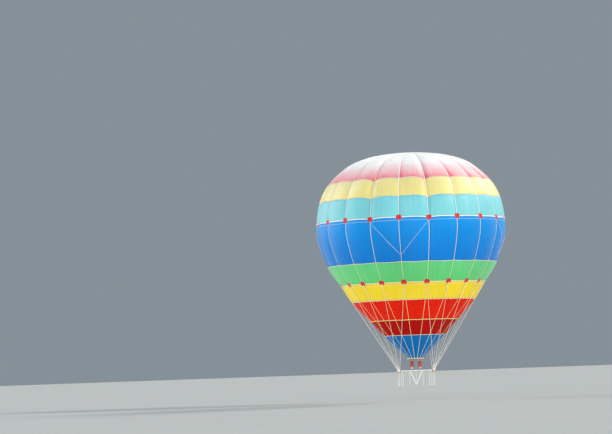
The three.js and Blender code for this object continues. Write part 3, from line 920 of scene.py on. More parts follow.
@dataclass(frozen=True)
class GoredSurface:
    """The sewn surface of the envelope, on which everything that touches the fabric lies."""

    gores: int = 20
    first_seam: float = math.radians(9.0)
    # The seams lie this share of the radius below the middle of a gore, less on the cone
    bulge_low: float = 0.008
    bulge_high: float = 0.018
    bulge_low_height: float = 3.7
    bulge_high_height: float = 6.5
    crown_smooth_radius: float = 1.25
    crown_full_radius: float = 2.5
    crown_height: float = 10.5
    # The outline only narrows from this point on
    crown_point: int = 11
    samples: int = 200
    columns_per_gore: int = 24
    seam_crowding: float = 0.4
    row: float = 0.075
    fullness: float = 0.72
    # Relief of the soft fabric in metres
    dent_depth: float = 0.008
    dent_length: float = 2.3
    pucker_depth: float = 0.0035
    pucker_reach: float = 0.07
    pucker_length: float = 0.31
    pleat_share: float = 0.0055
    pleat_least: float = 0.003
    pleat_most: float = 0.015
    pleats_wide: float = 4.6
    pleats_fine: float = 9.3
    # Seams that carry the side bridles. columns: seam, share of the whole pull
    pulled_seams: tuple[tuple[int, float], ...] = (
        (0, 1.0), (3, 0.35), (5, 0.35), (8, 1.0), (10, 1.0), (13, 0.35), (15, 0.35), (18, 1.0),
    )
    pull_down: float = 0.1
    pull_in: float = 0.1
    slack_down: float = 0.015
    pull_low: float = 7.0
    pull_high: float = 8.8
    seed: int = 11
    # Heights between which puckers come in, and between which pleats go out
    pucker_heights: Span = (3.6, 5.4)
    pleat_heights: Span = (3.4, 6.0)
    # Radii between which dents and puckers come in
    soft_radii: Span = (1.2, 2.6)
    # Outline of the middle of a gore from the throat to the apex. columns: radius, height
    outline: tuple[Span, ...] = (
        (0.43, 0.665), (1.6, 1.87), (2.31, 2.66), (3.225, 3.69), (3.835, 4.585), (4.485, 5.61),
        (5.0, 7.15), (5.01, 7.91), (4.83, 9.04), (4.32, 10.0), (3.34, 10.89), (2.34, 11.315),
        (1.1, 11.52), (0.0, 11.57),
    )

    @property
    def gore_angle(self) -> float:
        """Turn of one gore."""
        return FULL_TURN / self.gores

    @cached_property
    def curve(self) -> Array:
        """The outline as close points, from a centripetal spline through its points."""
        points = np.array(self.outline)
        run = np.vstack((2 * points[0] - points[1], points, 2 * points[-1] - points[-2]))
        steps = np.linalg.norm(np.diff(run, axis=0), axis=1) ** 0.5
        share = (np.arange(self.samples) / self.samples)[:, None]
        spans = []
        for index in range(len(points) - 1):
            before, start, end, after = run[index : index + 4]
            back, own, ahead = steps[index : index + 3]
            leave = ((start - before) / back - (end - before) / (back + own) + (end - start) / own) * own
            reach = ((end - start) / own - (after - start) / (own + ahead) + (after - end) / ahead) * own
            bend = 3 * (end - start) - 2 * leave - reach
            twist = 2 * (start - end) + leave + reach
            spans.append(start + share * (leave + share * (bend + share * twist)))
        return np.vstack((*spans, points[-1:]))

    @cached_property
    def travelled(self) -> Array:
        """Length along the outline at each of its close points."""
        return np.concatenate(([0.0], np.cumsum(np.linalg.norm(np.diff(self.curve, axis=0), axis=1))))

    @cached_property
    def heading(self) -> Array:
        """Direction of the outline at each of its close points."""
        slope = np.gradient(self.curve, axis=0)
        return slope / np.linalg.norm(slope, axis=1)[:, None]

    @cached_property
    def phases(self) -> Array:
        """Random shifts for the wrinkles of each gore."""
        return np.random.default_rng(self.seed).random((self.gores, 8)) * FULL_TURN

    def length_at(self, point: int) -> float:
        """Length from the throat up to an outline point."""
        return float(self.travelled[point * self.samples])

    def length_at_radius(self, radius: float) -> float:
        """Length up to where the crown narrows to a radius."""
        start = self.crown_point * self.samples
        return float(np.interp(-radius, -self.curve[start:, 0], self.travelled[start:]))

    def section(self, length: Array) -> tuple[Array, ...]:
        """Radius, height and the two parts of the outline's direction at a length."""
        columns = (*self.curve.T, *self.heading.T)
        return tuple(np.interp(length, self.travelled, column) for column in columns)

    def spot(self, length: float) -> Span:
        """Radius and height of the outline at one length."""
        radius, height, _, _ = self.section(np.array([length]))
        return (float(radius[0]), float(height[0]))

    def gore_place(self, turn: Array) -> Array:
        """Where round the balloon a turn lies, counted in gores from the first seam."""
        return (turn - self.first_seam) / self.gore_angle

    def share_of(self, turn: Array) -> Array:
        """How far across its gore a turn lies, from 0 to 1."""
        return self.gore_place(turn) % 1.0

    def bulge(self, radius: Array, height: Array) -> Array:
        """Depth of the seams below the middle of a gore."""
        rise = smoothstep(height, self.bulge_low_height, self.bulge_high_height)
        share = self.bulge_low + (self.bulge_high - self.bulge_low) * rise
        crown = smoothstep(radius, self.crown_smooth_radius, self.crown_full_radius)
        return share * radius * np.where(height > self.crown_height, crown, 1.0)

    def wrinkles(self, turn: Array, length: Array) -> Array:
        """Relief of the soft fabric: dents, puckers beside the seams, pleats on the cone.

        Args:
            turn: Where round the balloon.
            length: Where up the outline.

        Returns:
            How far it stands out at each place.
        """
        radius, height, _, _ = self.section(length)
        share = self.share_of(turn)
        gore = np.floor(self.gore_place(turn)).astype(int) % self.gores
        shift = self.phases[gore].T
        lift = arch(share)
        swell = np.sin(FULL_TURN * length / self.dent_length + shift[0])
        dents = self.dent_depth * lift * swell * np.sin(math.pi * share + 0.6 * shift[1])
        aside = np.minimum(share, 1.0 - share) * radius * self.gore_angle
        near_seam = (aside / self.pucker_reach) * np.exp(1.0 - aside / self.pucker_reach)
        slant = FULL_TURN * (length - 0.5 * aside) / self.pucker_length
        ripple = np.sin(slant + shift[2] + 2.0 * np.sin(1.9 * length + shift[3]))
        puckers = self.pucker_depth * near_seam * ripple * smoothstep(height, *self.pucker_heights)
        wander = 0.7 * np.sin(FULL_TURN * length / 1.9 + shift[4])
        wide = np.sin(FULL_TURN * self.pleats_wide * share + shift[5] + wander)
        fold = wide + 0.6 * np.sin(FULL_TURN * self.pleats_fine * share + shift[6])
        depth = np.clip(self.pleat_share * radius, self.pleat_least, self.pleat_most)
        uneven = 0.8 + 0.2 * np.sin(1.3 * length + shift[7])
        pleats = (1.0 - smoothstep(height, *self.pleat_heights)) * depth * uneven * fold * lift**0.6
        return smoothstep(radius, *self.soft_radii) * (dents + puckers) + pleats

    def pull(self, turn: Array, length: Array) -> tuple[Array, Array]:
        """How far the seams draw the fabric down and in near the top, most at the side bridles' seams."""
        radius, height, _, _ = self.section(length)
        shares = np.zeros(self.gores)
        for seam, part in self.pulled_seams:
            shares[seam] = part
        pulled = shares[np.rint(self.gore_place(turn)).astype(int) % self.gores]
        share = self.share_of(turn)
        near = 1.0 - 2.0 * np.abs(share - np.rint(share))
        rise = smoothstep(height, self.pull_low, self.pull_high)
        strength = rise * smoothstep(radius, self.crown_smooth_radius, self.crown_full_radius)
        down = self.slack_down + (self.pull_down - self.slack_down) * pulled
        return strength * near**2 * down, strength * near**4 * pulled * self.pull_in

    def place(self, turn: Array, length: Array, offset: float | Array = 0.0) -> Array:
        """Points on the fabric.

        Args:
            turn: Where round the balloon.
            length: Where up the outline.
            offset: Distance outwards from the fabric.

        Returns:
            One point for each row.
        """
        share = self.share_of(turn)
        lift = arch(share) ** self.fullness
        down, inward = self.pull(turn, length)
        radius, height, run, rise = self.section(length - down)
        out = offset - inward - self.bulge(radius, height) * (1.0 - lift) + self.wrinkles(turn, length)
        return polar(turn, radius + rise * out, height - run * out)

    def point(self, turn: float, length: float, offset: float = 0.0) -> Vector:
        """One point on the fabric."""
        return Vector(self.place(np.array([turn]), np.array([length]), offset)[0])

    def eye_frame(self, turn: float, length: float, offset: float) -> Matrix:
        """A frame on the fabric: X to the side, Y up along it, Z outwards."""
        at = self.point(turn, length, offset)
        up = (self.point(turn, length + 0.02, offset) - at).normalized()
        side = sideways(turn)
        return axes(side, up, side.cross(up), at)

    def seam(self, index: int) -> float:
        """Turn of a seam, counted from the first one."""
        return self.first_seam + index * self.gore_angle

    @property
    def seams(self) -> list[float]:
        """Turns of all seams."""
        return [self.seam(index) for index in range(self.gores)]

    def crowded(self, turn: Array) -> Array:
        """Moves evenly spread turns closer to the seams, where the fabric bends most."""
        crowding = self.gore_angle * self.seam_crowding / FULL_TURN
        return turn - crowding * np.sin(FULL_TURN * self.share_of(turn))

    def gore_chart(self, turn: Array, length: Array) -> Array:
        """The map of gore numbers with their share, and lengths."""
        return np.stack((self.gore_place(turn) % self.gores, length), axis=1)

    def ring(self, low: float, high: float, rows: int) -> Shape:
        """A strip of cloth round the whole balloon.

        Args:
            low: Length at its lower edge.
            high: Length at its upper edge.
            rows: Faces from edge to edge.

        Returns:
            The open strip, mapped by gore, by metres of cloth and by distance from its edges.
        """

        def lengths(share: Array) -> Array:
            """Lengths up the outline."""
            return low + (high - low) * share

        def place(turn: Array, share: Array) -> Array:
            """Places on the fabric."""
            return self.place(self.crowded(turn), lengths(share))

        def cloth_chart(turn: Array, share: Array) -> Array:
            """Metres across and along the cloth."""
            radius = self.section(lengths(share))[0]
            return np.stack((self.crowded(turn) * radius, lengths(share)), axis=1)

        charts = {
            "gore": lambda turn, share: self.gore_chart(self.crowded(turn), lengths(share)),
            "cloth": cloth_chart,
            "edge": lambda turn, share: np.stack((share, 1.0 - share), axis=1) * (high - low),
        }
        return spun(self.gores * self.columns_per_gore, rows, place, charts, closed=False)


# The fabric of this balloon, on which all its pieces lie
SURFACE = GoredSurface()


@dataclass(frozen=True)
class Band:
    """One coloured band of fabric, between two points of the outline."""

    name: str
    slot: Slot
    # The change from the lower to the upper colour is painted light; on the crown it is a painted highlight
    lower: Colour
    upper: Colour
    sheen: float
    specular: float
    painted_pleat_shade: float
    low_point: int
    high_point: int | None


@dataclass(frozen=True)
class Envelope:
    """The coloured bands of fabric."""

    shell: float = 0.008
    opening_radius: float = 0.9
    hem: float = 0.06
    # columns: colour's name, slot, colour at the lower edge, at the upper edge, sheen, gloss, painted pleat
    # shade, outline point at the lower edge, at the upper edge. A lighter upper colour is painted light, and
    # the crown's white is a painted highlight
    bands: tuple[Band, ...] = (
        Band("throat_blue", Slot.THROAT_BLUE, (0, 108, 180), (0, 108, 178), 0.1, 0.05, 0.12, 0, 1),
        Band("dark_red", Slot.DARK_RED, (176, 12, 8), (176, 12, 8), 0.05, 0.03, 0.12, 1, 2),
        Band("red", Slot.RED, (228, 34, 2), (228, 28, 0), 0.05, 0.05, 0.09, 2, 3),
        Band("lower_yellow", Slot.LOWER_YELLOW, (246, 216, 48), (246, 216, 44), 0.06, 0.15, 0.045, 3, 4),
        Band("green", Slot.GREEN, (92, 203, 112), (98, 205, 126), 0.2, 0.3, 0.06, 4, 5),
        Band("blue", Slot.BLUE, (0, 119, 206), (4, 147, 227), 0.17, 0.16, 0.045, 5, 7),
        Band("turquoise", Slot.TURQUOISE, (116, 205, 208), (118, 204, 214), 0.3, 0.55, 0.05, 7, 8),
        Band("upper_yellow", Slot.UPPER_YELLOW, (238, 220, 122), (238, 224, 150), 0.34, 1.0, 0.05, 8, 9),
        Band("crown", Slot.CROWN_PINK, (242, 92, 114), (250, 247, 244), 0.34, 1.0, 0.05, 9, None),
    )
    # The crown's painted highlight starts this far below its lower edge and is whole at this height
    crown_fade_below: float = 0.13
    crown_white_height: float = 10.85
    # How much later the crown's painted highlight comes just after each seam, as painted shade in the creases
    crown_painted_crease_shade: float = 0.3

    def build(self) -> None:
        """Makes every band and its shell."""
        for index, band in enumerate(self.bands):
            low = SURFACE.length_at(band.low_point)
            base = SURFACE.outline[band.low_point][1]
            high = SURFACE.length_at_radius(self.opening_radius)
            # A band's lighter upper colour is painted light; on the crown it is a painted highlight
            height_fade = HeightFade(band.upper, base - self.crown_fade_below, self.crown_white_height)
            # Only the crown keeps painted shade in the creases after its seams
            crease_shade_lag = self.crown_painted_crease_shade
            if band.high_point is not None:
                high = SURFACE.length_at(band.high_point)
                height_fade = HeightFade(band.upper, base, SURFACE.outline[band.high_point][1])
                crease_shade_lag = 0.0
            name = f"fabric_{band.name}"
            finish = FabricFinish(
                name, band.lower, tone_seed=1.0 + index, sheen=band.sheen, specular=band.specular,
                hem=self.hem, painted_pleat_shade=band.painted_pleat_shade, painted_crease_shade=crease_shade_lag, height_fade=height_fade,
            )
            cloth = SURFACE.ring(low, high, math.ceil((high - low) / SURFACE.row))
            thicken(Assembly().add(cloth, finish).piece(name, band.slot, [f"band_{band.name}"]), self.shell)


@dataclass(frozen=True)
class LoadTapes:
    """Tapes sewn over the seams between the gores, and those sewn over the seams between bands."""

    top_radius: float = 1.16
    thickness: float = 0.004
    lift: float = 0.0055
    row: float = 0.08
    least_radius: float = 0.3
    # Distances of a strip's back and face from the fabric
    strip_layer: Span = (0.001, 0.0035)
    # Width of a load tape. columns: length as a share of the whole, width
    widths: tuple[Span, ...] = (
        (0.0, 0.02), (0.45, 0.022), (0.6, 0.026), (0.72, 0.034), (0.85, 0.052), (1.0, 0.05),
    )
    # Level strips, which lie under the load tapes. columns: name, outline point, width, finish
    strips: tuple[tuple[str, int, float, WebbingFinish], ...] = (
        ("seam_blue_dark_red", 1, 0.026, SEAM_TAPE),
        ("tape_dark_red_red", 2, 0.042, CREAM_TAPE),
        ("seam_red_yellow", 3, 0.026, SEAM_TAPE),
        ("seam_green_blue", 5, 0.026, SEAM_TAPE),
        ("seam_turquoise_yellow", 8, 0.022, SEAM_TAPE),
        ("seam_yellow_crown", 9, 0.022, SEAM_TAPE),
    )

    def load_tape(self, seam: float) -> Shape:
        """One tape from the crown down to the throat along a seam."""
        top = SURFACE.length_at_radius(self.top_radius)
        shares, widths = np.array(self.widths).T

        def place(turn: Array, share: Array) -> Array:
            """Lays a flat rounded section on the fabric."""
            length = share * top
            aside = np.interp(share, shares, widths) / 2.0 * fuller(np.sin(turn), STRAP_SQUARENESS)
            offset = self.lift + self.thickness / 2.0 * fuller(-np.cos(turn), STRAP_SQUARENESS)
            radius = np.maximum(SURFACE.section(length)[0], self.least_radius)
            return SURFACE.place(seam + aside / radius, length, offset)

        charts = {"cloth": lambda turn, share: np.stack((turn / FULL_TURN, share * top), axis=1)}
        return spun(columns=8, rows=math.ceil(top / self.row), place=place, charts=charts)

    def build(self) -> None:
        """Makes all tapes."""
        tapes = Assembly()
        for turn in SURFACE.seams:
            tapes.add(self.load_tape(turn), CREAM_TAPE)
        tapes.piece("load_tapes", Slot.TAPE)
        for name, point, width, finish in self.strips:
            strip = level_tape(SURFACE.length_at(point), width, *self.strip_layer)
            Assembly().add(strip, finish).piece(name, Slot.TAPE)


# Section of a level tape. columns: share of half the width, share of the thickness
TAPE_SECTION: tuple[Span, ...] = (
    (-1.0, 0.0), (1.0, 0.0), (1.0, 0.6), (0.85, 1.0), (0.0, 1.0), (-0.85, 1.0), (-1.0, 0.6),
    (-1.0, 0.0),
)


def level_tape(middle: float, width: float, back: float, face: float) -> Shape:
    """A closed tape round the whole balloon.

    Args:
        middle: Length at the middle of the tape.
        width: The tape's width.
        back: Distance of its back from the fabric.
        face: Distance of its face from the fabric.

    Returns:
        The tape.
    """
    section = np.array(TAPE_SECTION)
    rows = len(section) - 1
    radius, _ = SURFACE.spot(middle)

    def place(turn: Array, share: Array) -> Array:
        """Places on the fabric."""
        side, up = section[nearest(share, rows)].T
        return SURFACE.place(SURFACE.crowded(turn), middle + side * width / 2.0, back + (face - back) * up)

    def chart(turn: Array, share: Array) -> Array:
        """Where across the tape, as a strap's map has it, and metres along it."""
        side = section[nearest(share, rows), 0]
        return np.stack((np.arcsin(side) / FULL_TURN, turn * radius), axis=1)

    return spun(SURFACE.gores * SURFACE.columns_per_gore, rows, place, {"cloth": chart})


class Row(Enum):
    """The two rows of patches, by the outline point that each lies on."""

    GIRDLE = 7
    STAYS = 4


@dataclass(frozen=True)
class Girdle:
    """A tape with a round patch on every seam, and the thin rope below it."""

    row: Row
    prefix: str
    node: str
    tape_finish: WebbingFinish
    patch_finish: PatchFinish
    tape_width: float
    # Distances of the tape's back and face from the fabric
    tape_layer: Span = (0.001, 0.004)
    radius: float = 0.15
    # Section of a patch, from the middle of its back to that of its face. columns: share of radius, offset
    dome: tuple[Span, ...] = (
        (0.0, 0.002), (0.6, 0.002), (1.0, 0.002), (1.0, 0.0045), (0.97, 0.0075), (0.88, 0.0085),
        (0.72, 0.0095), (0.5, 0.012), (0.25, 0.0145), (0.0, 0.0155),
    )
    eye_radius: float = 0.024
    eye_wire: float = 0.005
    eye_drop: float = 0.03
    eye_lift: float = 0.018
    cord_drop: float = 0.15
    cord_droop: float = 0.012
    cord_radius: float = 0.006
    cord_lift: float = 0.002
    cord_steps_per_gore: int = 12
    # Turns of rope that hold an eye: height of each, and its ends from there
    bar_heights: tuple[float, ...] = (-0.012, 0.0, 0.012)
    bar_ends: tuple[tuple[float, float, float], ...] = ((-0.018, 0.0, 0.006), (0.018, 0.004, 0.008))
    # Strap from above a stay patch down to the stay's knot. columns: length from the patch, offset
    tab_run: tuple[Span, ...] = (
        (0.13, 0.0125), (0.08, 0.0185), (0.03, 0.0215), (-0.03, 0.024), (-0.065, 0.032),
        (-0.095, 0.043),
    )

    def patch(self, seam: float, length: float) -> Shape:
        """A domed patch laid over a seam."""
        dome = np.array(self.dome)
        rows = len(dome) - 1
        around, _ = SURFACE.spot(length)

        def plane(turn: Array, share: Array) -> Array:
            """Places in the patch's own plane."""
            return polar(turn, dome[nearest(share, rows), 0] * self.radius)

        def place(turn: Array, share: Array) -> Array:
            """Places on the fabric."""
            aside, up = plane(turn, share).T
            offset = dome[nearest(share, rows), 1]
            return SURFACE.place(seam + aside / around, length + up, offset)

        return spun(columns=28, rows=rows, place=place, charts={"cloth": plane}, wraps=False)

    def eye(self) -> Shape:
        """A ring of rope with the turns that hold it."""
        made = Assembly().add(wire_ring(self.eye_radius, self.eye_wire), ORANGE_STRAP)
        for up in self.bar_heights:
            ends = [Vector((x, up + y, z)) for x, y, z in self.bar_ends]
            made.add(rope(ends, radius=0.006, sides=6), ORANGE_STRAP)
        return made.shape

    def tab(self, seam: float, length: float) -> Shape:
        """The strap that crosses a stay patch and comes down to the stay's knot."""
        route = [SURFACE.point(seam, length + up, offset) for up, offset in self.tab_run]
        return strap(route, sideways(seam), width=0.03, thickness=0.006)

    def cord_round(self, length: float) -> Shape:
        """A thin rope that lies on the fabric all the way round."""
        count = SURFACE.gores * self.cord_steps_per_gore
        turns = SURFACE.crowded(np.arange(count) / count * FULL_TURN)
        droop = self.cord_droop * (1.0 - np.cos(FULL_TURN * SURFACE.share_of(turns)))
        places = SURFACE.place(turns, length - droop, self.cord_radius + self.cord_lift)
        return rope([Vector(place) for place in places], self.cord_radius, sides=6, closed=True)

    def build(self) -> None:
        """Makes the tape, the patches, what is tied to them and the rope."""
        length = SURFACE.length_at(self.row.value)
        kind = self.row.name.lower()
        tape = level_tape(length, self.tape_width, *self.tape_layer)
        Assembly().add(tape, self.tape_finish).piece(f"{self.prefix}girdle_tape", Slot.TAPE)
        patches = Assembly()
        eyes = Assembly()
        for seam in SURFACE.seams:
            patches.add(self.patch(seam, length), self.patch_finish)
            if self.row is Row.GIRDLE:
                at = SURFACE.eye_frame(seam, length - self.eye_drop, self.eye_lift)
                eyes.add(self.eye(), ORANGE_STRAP, at)
            else:
                eyes.add(self.tab(seam, length), RED_STRAP)
        patches.piece(f"patches_{kind}", Slot.PATCH_RED, [self.node])
        eyes.piece(f"patch_eyes_{kind}", Slot.ROPE)
        cord = self.cord_round(length - self.cord_drop)
        Assembly().add(cord, CREAM_ROPE).piece(f"{self.prefix}girdle_cord", Slot.ROPE)


@dataclass(frozen=True)
class SideBridles:
    """Four V-shaped bridles of thin cord that lie on the blue band, each with a ring where its legs meet."""

    centres: tuple[int, ...] = (-1, 4, 9, 14)
    top_drop: float = 0.16
    junction_drop: float = 2.0
    meeting: float = 0.985
    cord_radius: float = 0.009
    cord_lift: float = 0.003
    ring_drop: float = 0.02
    ring_lift: float = 0.02

    def build(self) -> None:
        """Makes the four bridles as one piece."""
        legs = Assembly()
        girdle = SURFACE.length_at(Row.GIRDLE.value)
        high = girdle - self.top_drop
        low = girdle - self.junction_drop
        shares = np.linspace(0.0, 1.0, num=40)
        lengths = high + (low - high) * shares
        for centre in self.centres:
            seam = SURFACE.seam(centre)
            for side in (-1, 1):
                turns = seam + side * SURFACE.gore_angle * (1.0 - shares * self.meeting)
                places = SURFACE.place(turns, lengths, self.cord_radius + self.cord_lift)
                legs.add(rope([Vector(place) for place in places], self.cord_radius), PALE_CORD)
            at = SURFACE.eye_frame(seam, low - self.ring_drop, self.ring_lift)
            legs.add(wire_ring(radius=0.035, wire=0.006), STEEL, at)
        legs.piece("side_bridles", Slot.ROPE)


@dataclass(frozen=True)
class Crown:
    """The ring over the crown opening and the tapes that run from it onto the fabric."""

    apex: float = 11.57
    # Section of the cast ring. columns: radius, height over the apex
    section: tuple[Span, ...] = (
        (0.086, 0.0), (0.139, 0.0), (0.145, 0.006), (0.145, 0.016), (0.139, 0.022), (0.086, 0.022),
        (0.08, 0.016), (0.08, 0.006), (0.086, 0.0),
    )
    # Route of a tape, from under the ring's inner rim over it. columns: radius, height over the apex
    over_ring: tuple[Span, ...] = (
        (0.1, -0.004), (0.078, 0.004), (0.076, 0.0185), (0.09, 0.0245), (0.135, 0.0245),
        (0.152, 0.0165),
    )
    # Radii on the fabric between which a tape lies
    tape_span: Span = (0.2, 1.2)
    tape_lift: float = 0.0055
    tape_steps: int = 12

    def tape(self, turn: float) -> Shape:
        """One tape, over the ring and out to the fabric."""
        route = [outward(turn) * radius + UP * (self.apex + height) for radius, height in self.over_ring]
        start, end = (SURFACE.length_at_radius(radius) for radius in self.tape_span)
        for step in range(self.tape_steps + 1):
            length = start + (end - start) * step / self.tape_steps
            route.append(SURFACE.point(turn, length, self.tape_lift))
        return strap(route, sideways(turn), width=0.04, thickness=0.004)

    def build(self) -> None:
        """Makes the ring and its tapes."""
        ring = lathed([(radius, self.apex + height) for radius, height in self.section], columns=48)
        Assembly().add(ring, ALUMINIUM).piece("crown_ring_cast", Slot.STEEL, ["crown_ring"])
        tapes = Assembly()
        for turn in SURFACE.seams:
            tapes.add(self.tape(turn), CREAM_TAPE)
        tapes.piece("crown_tapes", Slot.TAPE)


@dataclass(frozen=True)
class Valve:
    """The fabric dish that closes the crown opening from inside and slides down with its body."""

    radius: float = 1.05
    drop: float = 0.027
    shell: float = 0.004
    sag: float = 0.012
    tape_start: float = 0.1
    tape_steps: int = 10
    # Tape round the rim. columns: distance in from the rim, height over the dish
    rim: tuple[Span, ...] = (
        (0.03, 0.0025), (0.0, 0.002), (0.0, -0.005), (0.03, -0.0045), (0.03, 0.0025),
    )
    # Section of the pad in the middle. columns: radius, height over the dish
    pad: tuple[Span, ...] = (
        (0.0, -0.012), (0.12, -0.012), (0.125, -0.004), (0.12, 0.003), (0.0, 0.005),
    )

    def panel(self) -> Shape:
        """The dish, sagging a little between its radial tapes."""
        rim = SURFACE.length_at_radius(self.radius)
        end = float(SURFACE.travelled[-1])

        def lengths(share: Array) -> Array:
            """Lengths up the outline from the rim to the apex."""
            return rim + (end - rim) * share

        def place(turn: Array, share: Array) -> Array:
            """Places of the dish."""
            radius, height, run, rise = SURFACE.section(lengths(share))
            across = SURFACE.share_of(turn)
            lift = arch(across)
            out = -self.drop - self.sag * lift * np.sin(math.pi * share) ** 0.5
            reach = np.maximum(radius + rise * out, 0.0) * (share < 1.0)
            return polar(turn, reach, height - run * out)

        charts = {
            "gore": lambda turn, share: SURFACE.gore_chart(turn, lengths(share)),
            "cloth": lambda turn, share: polar(turn, self.radius * (1.0 - share)),
        }
        shape = spun(columns=SURFACE.gores * 8, rows=16, place=place, charts=charts, closed=False)
        bmesh.ops.remove_doubles(shape, verts=shape.verts[:], dist=MERGE_DISTANCE)
        bmesh.ops.recalc_face_normals(shape, faces=shape.faces[:])
        return shape

    def height_at(self, radius: float) -> float:
        """Height of the dish's tapes at a radius."""
        return SURFACE.spot(SURFACE.length_at_radius(radius))[1] - self.drop

    def tape(self, turn: float) -> Shape:
        """One tape from the pad out to the rim."""
        reach = self.radius - self.tape_start
        radii = [self.tape_start + reach * step / self.tape_steps for step in range(self.tape_steps + 1)]
        route = [outward(turn) * radius + UP * (self.height_at(radius) + 0.001) for radius in radii]
        return strap(route, sideways(turn), width=0.025, thickness=0.003)

    def build(self) -> None:
        """Makes the panel, its tapes and its middle pad."""
        panel = Assembly().add(self.panel(), VALVE_CLOTH)
        piece = panel.piece("valve_panel", Slot.VALVE_FABRIC, ["crown_valve"], Body.VALVE)
        thicken(piece, self.shell)
        tapes = Assembly()
        for turn in SURFACE.seams:
            tapes.add(self.tape(turn), WHITE_TAPE)
        rim = [(self.radius - inwards, up) for inwards, up in self.rim]
        edge = [(radius, self.height_at(radius) + up) for radius, up in rim]
        tapes.add(lathed(edge, columns=160), WHITE_TAPE)
        middle = self.height_at(0.0)
        tapes.add(lathed([(radius, middle + up) for radius, up in self.pad], columns=40), WHITE_TAPE)
        trim = tapes.piece("valve_tapes", Slot.TAPE, body=Body.VALVE)


@dataclass(frozen=True)
class Throat:
    """The hem under the envelope, its lacing, the plate that closes it and the two filling sleeves."""

    # Lower and upper rim of the hem. columns: radius, height
    bottom: Span = (0.382, 0.505)
    top: Span = (0.427, 0.6644)
    wall: float = 0.01
    rows: int = 10
    hem_pull: float = 0.008
    hem_crease: float = 0.004
    crease_reach: float = 0.46
    # Section of a band on the hem. columns: distance outwards, height from the band's middle
    band: tuple[Span, ...] = (
        (-0.004, -0.014), (0.003, -0.012), (0.004, 0.01), (-0.004, 0.012), (-0.004, -0.014),
    )
    # Bands on the hem. columns: radius, height, finish
    bands: tuple[tuple[float, float, WebbingFinish], ...] = (
        (0.426, 0.6524, CREAM_TAPE), (0.388, 0.519, SHADED_HEM_TAPE)
    )
    # Section of the closing plate. columns: radius, height
    plate_section: tuple[Span, ...] = (
        (0.0, 0.505), (0.366, 0.505), (0.369, 0.508), (0.369, 0.512), (0.366, 0.515), (0.0, 0.515),
    )
    plate_tapes: int = 8
    plate_tape_radii: tuple[float, ...] = (0.03, 0.12, 0.24, 0.362)
    plate_tape_height: float = 0.5035
    # Places of a lacing eye and of its knot. columns: radius, height
    eye_at: Span = (0.433, 0.6484)
    knot_at: Span = (0.431, 0.6284)
    # Section of a lacing knot. columns: radius, height
    knot: tuple[Span, ...] = ((0.0, -0.012), (0.009, -0.01), (0.014, 0.0), (0.009, 0.01), (0.0, 0.012))
    # Ends of the load tapes over the hem. columns: radius, height
    lacing_run: tuple[Span, ...] = ((0.46, 0.72), (0.44, 0.69), (0.434, 0.668), (0.432, 0.648))
    sleeve_offset: float = 0.225
    cloth: float = 0.0025
    # Outline of a filling sleeve from its loose end up to the plate. columns: radius, height
    sleeve: tuple[Span, ...] = (
        (0.052, 0.115), (0.046, 0.132), (0.034, 0.152), (0.026, 0.168), (0.035, 0.183), (0.058, 0.205),
        (0.083, 0.238), (0.102, 0.275), (0.108, 0.312), (0.108, 0.35), (0.104, 0.392), (0.096, 0.43),
        (0.088, 0.47), (0.084, 0.5047),
    )
    # Row of the sleeve's outline where it is tied, and how many rows the gathers reach
    tie_row: int = 3
    gathered_rows: float = 3.4
    # Depth of a sleeve's folds where it is gathered and elsewhere, and of its swell, as shares of the radius
    gathers: float = 0.13
    creases: float = 0.03
    swell: float = 0.025
    tie_pitch: float = 0.008
    tie_lean: float = 0.12
    # Loose ends of the tie, from its front. columns: to the side, outwards, up
    tail: tuple[tuple[float, float, float], ...] = (
        (0.0, 0.0, 0.0), (0.008, -0.018, -0.008), (0.014, -0.02, -0.035), (0.018, -0.017, -0.07),
    )
    # Section of the collar under the plate. columns: radius, height
    collar: tuple[Span, ...] = (
        (0.082, 0.4985), (0.096, 0.4985), (0.1, 0.5), (0.1, 0.503), (0.082, 0.5045), (0.082, 0.4985),
    )

    def hem(self) -> Shape:
        """The hem, gathered a little between the ends of the load tapes."""
        low, high = np.array((self.bottom, self.top))
        outer = [low + (high - low) * row / self.rows for row in range(self.rows + 1)]
        inner = [high - (self.wall, 0.0), low - (self.wall, 0.0)]
        gores = SURFACE.gores

        def folds(turn: Array, share: Array) -> Array:
            """Draws the hem in at each tape and creases it between."""
            pull = np.cos(gores * (turn - SURFACE.first_seam))
            crease = np.sin(3 * gores * turn + 2.0 * np.sin(5 * turn))
            middle = np.sin(np.clip(share / self.crease_reach, 0.0, 1.0) * math.pi)
            return 1.0 - (self.hem_pull * pull - self.hem_crease * crease) * middle

        return lathed([*outer, *inner, outer[0]], columns=gores * 12, folds=folds)

    def lacing(self) -> None:
        """The eyes and knots that hold the hem to the ends of the load tapes."""
        lacing = Assembly()
        for turn in SURFACE.seams:
            facing = outward(turn)
            along = sideways(turn)
            eye = wire_ring(radius=0.017, wire=0.005, columns=16)
            knot = lathed(self.knot, columns=10)
            for shape, (radius, height) in ((eye, self.eye_at), (knot, self.knot_at)):
                lacing.add(shape, CREAM_ROPE, axes(along, UP, facing, facing * radius + UP * height))
            route = [facing * radius + UP * height for radius, height in self.lacing_run]
            lacing.add(strap(route, along, width=0.045, thickness=0.004), CREAM_TAPE)
        lacing.piece("throat_lacing", Slot.ROPE)

    def plate(self) -> None:
        """The plate that closes the throat, with tapes across its underside."""
        plate = Assembly().add(lathed(self.plate_section, columns=96), PLATE_CLOTH)
        for tape in range(self.plate_tapes):
            facing = outward(FULL_TURN * tape / self.plate_tapes)
            route = [facing * radius + UP * self.plate_tape_height for radius in self.plate_tape_radii]
            plate.add(strap(route, facing.cross(UP), width=0.02, thickness=0.002), SEAM_TAPE)
        plate.piece("throat_closing_panel", Slot.THROAT_BLUE, ["throat_plate"])

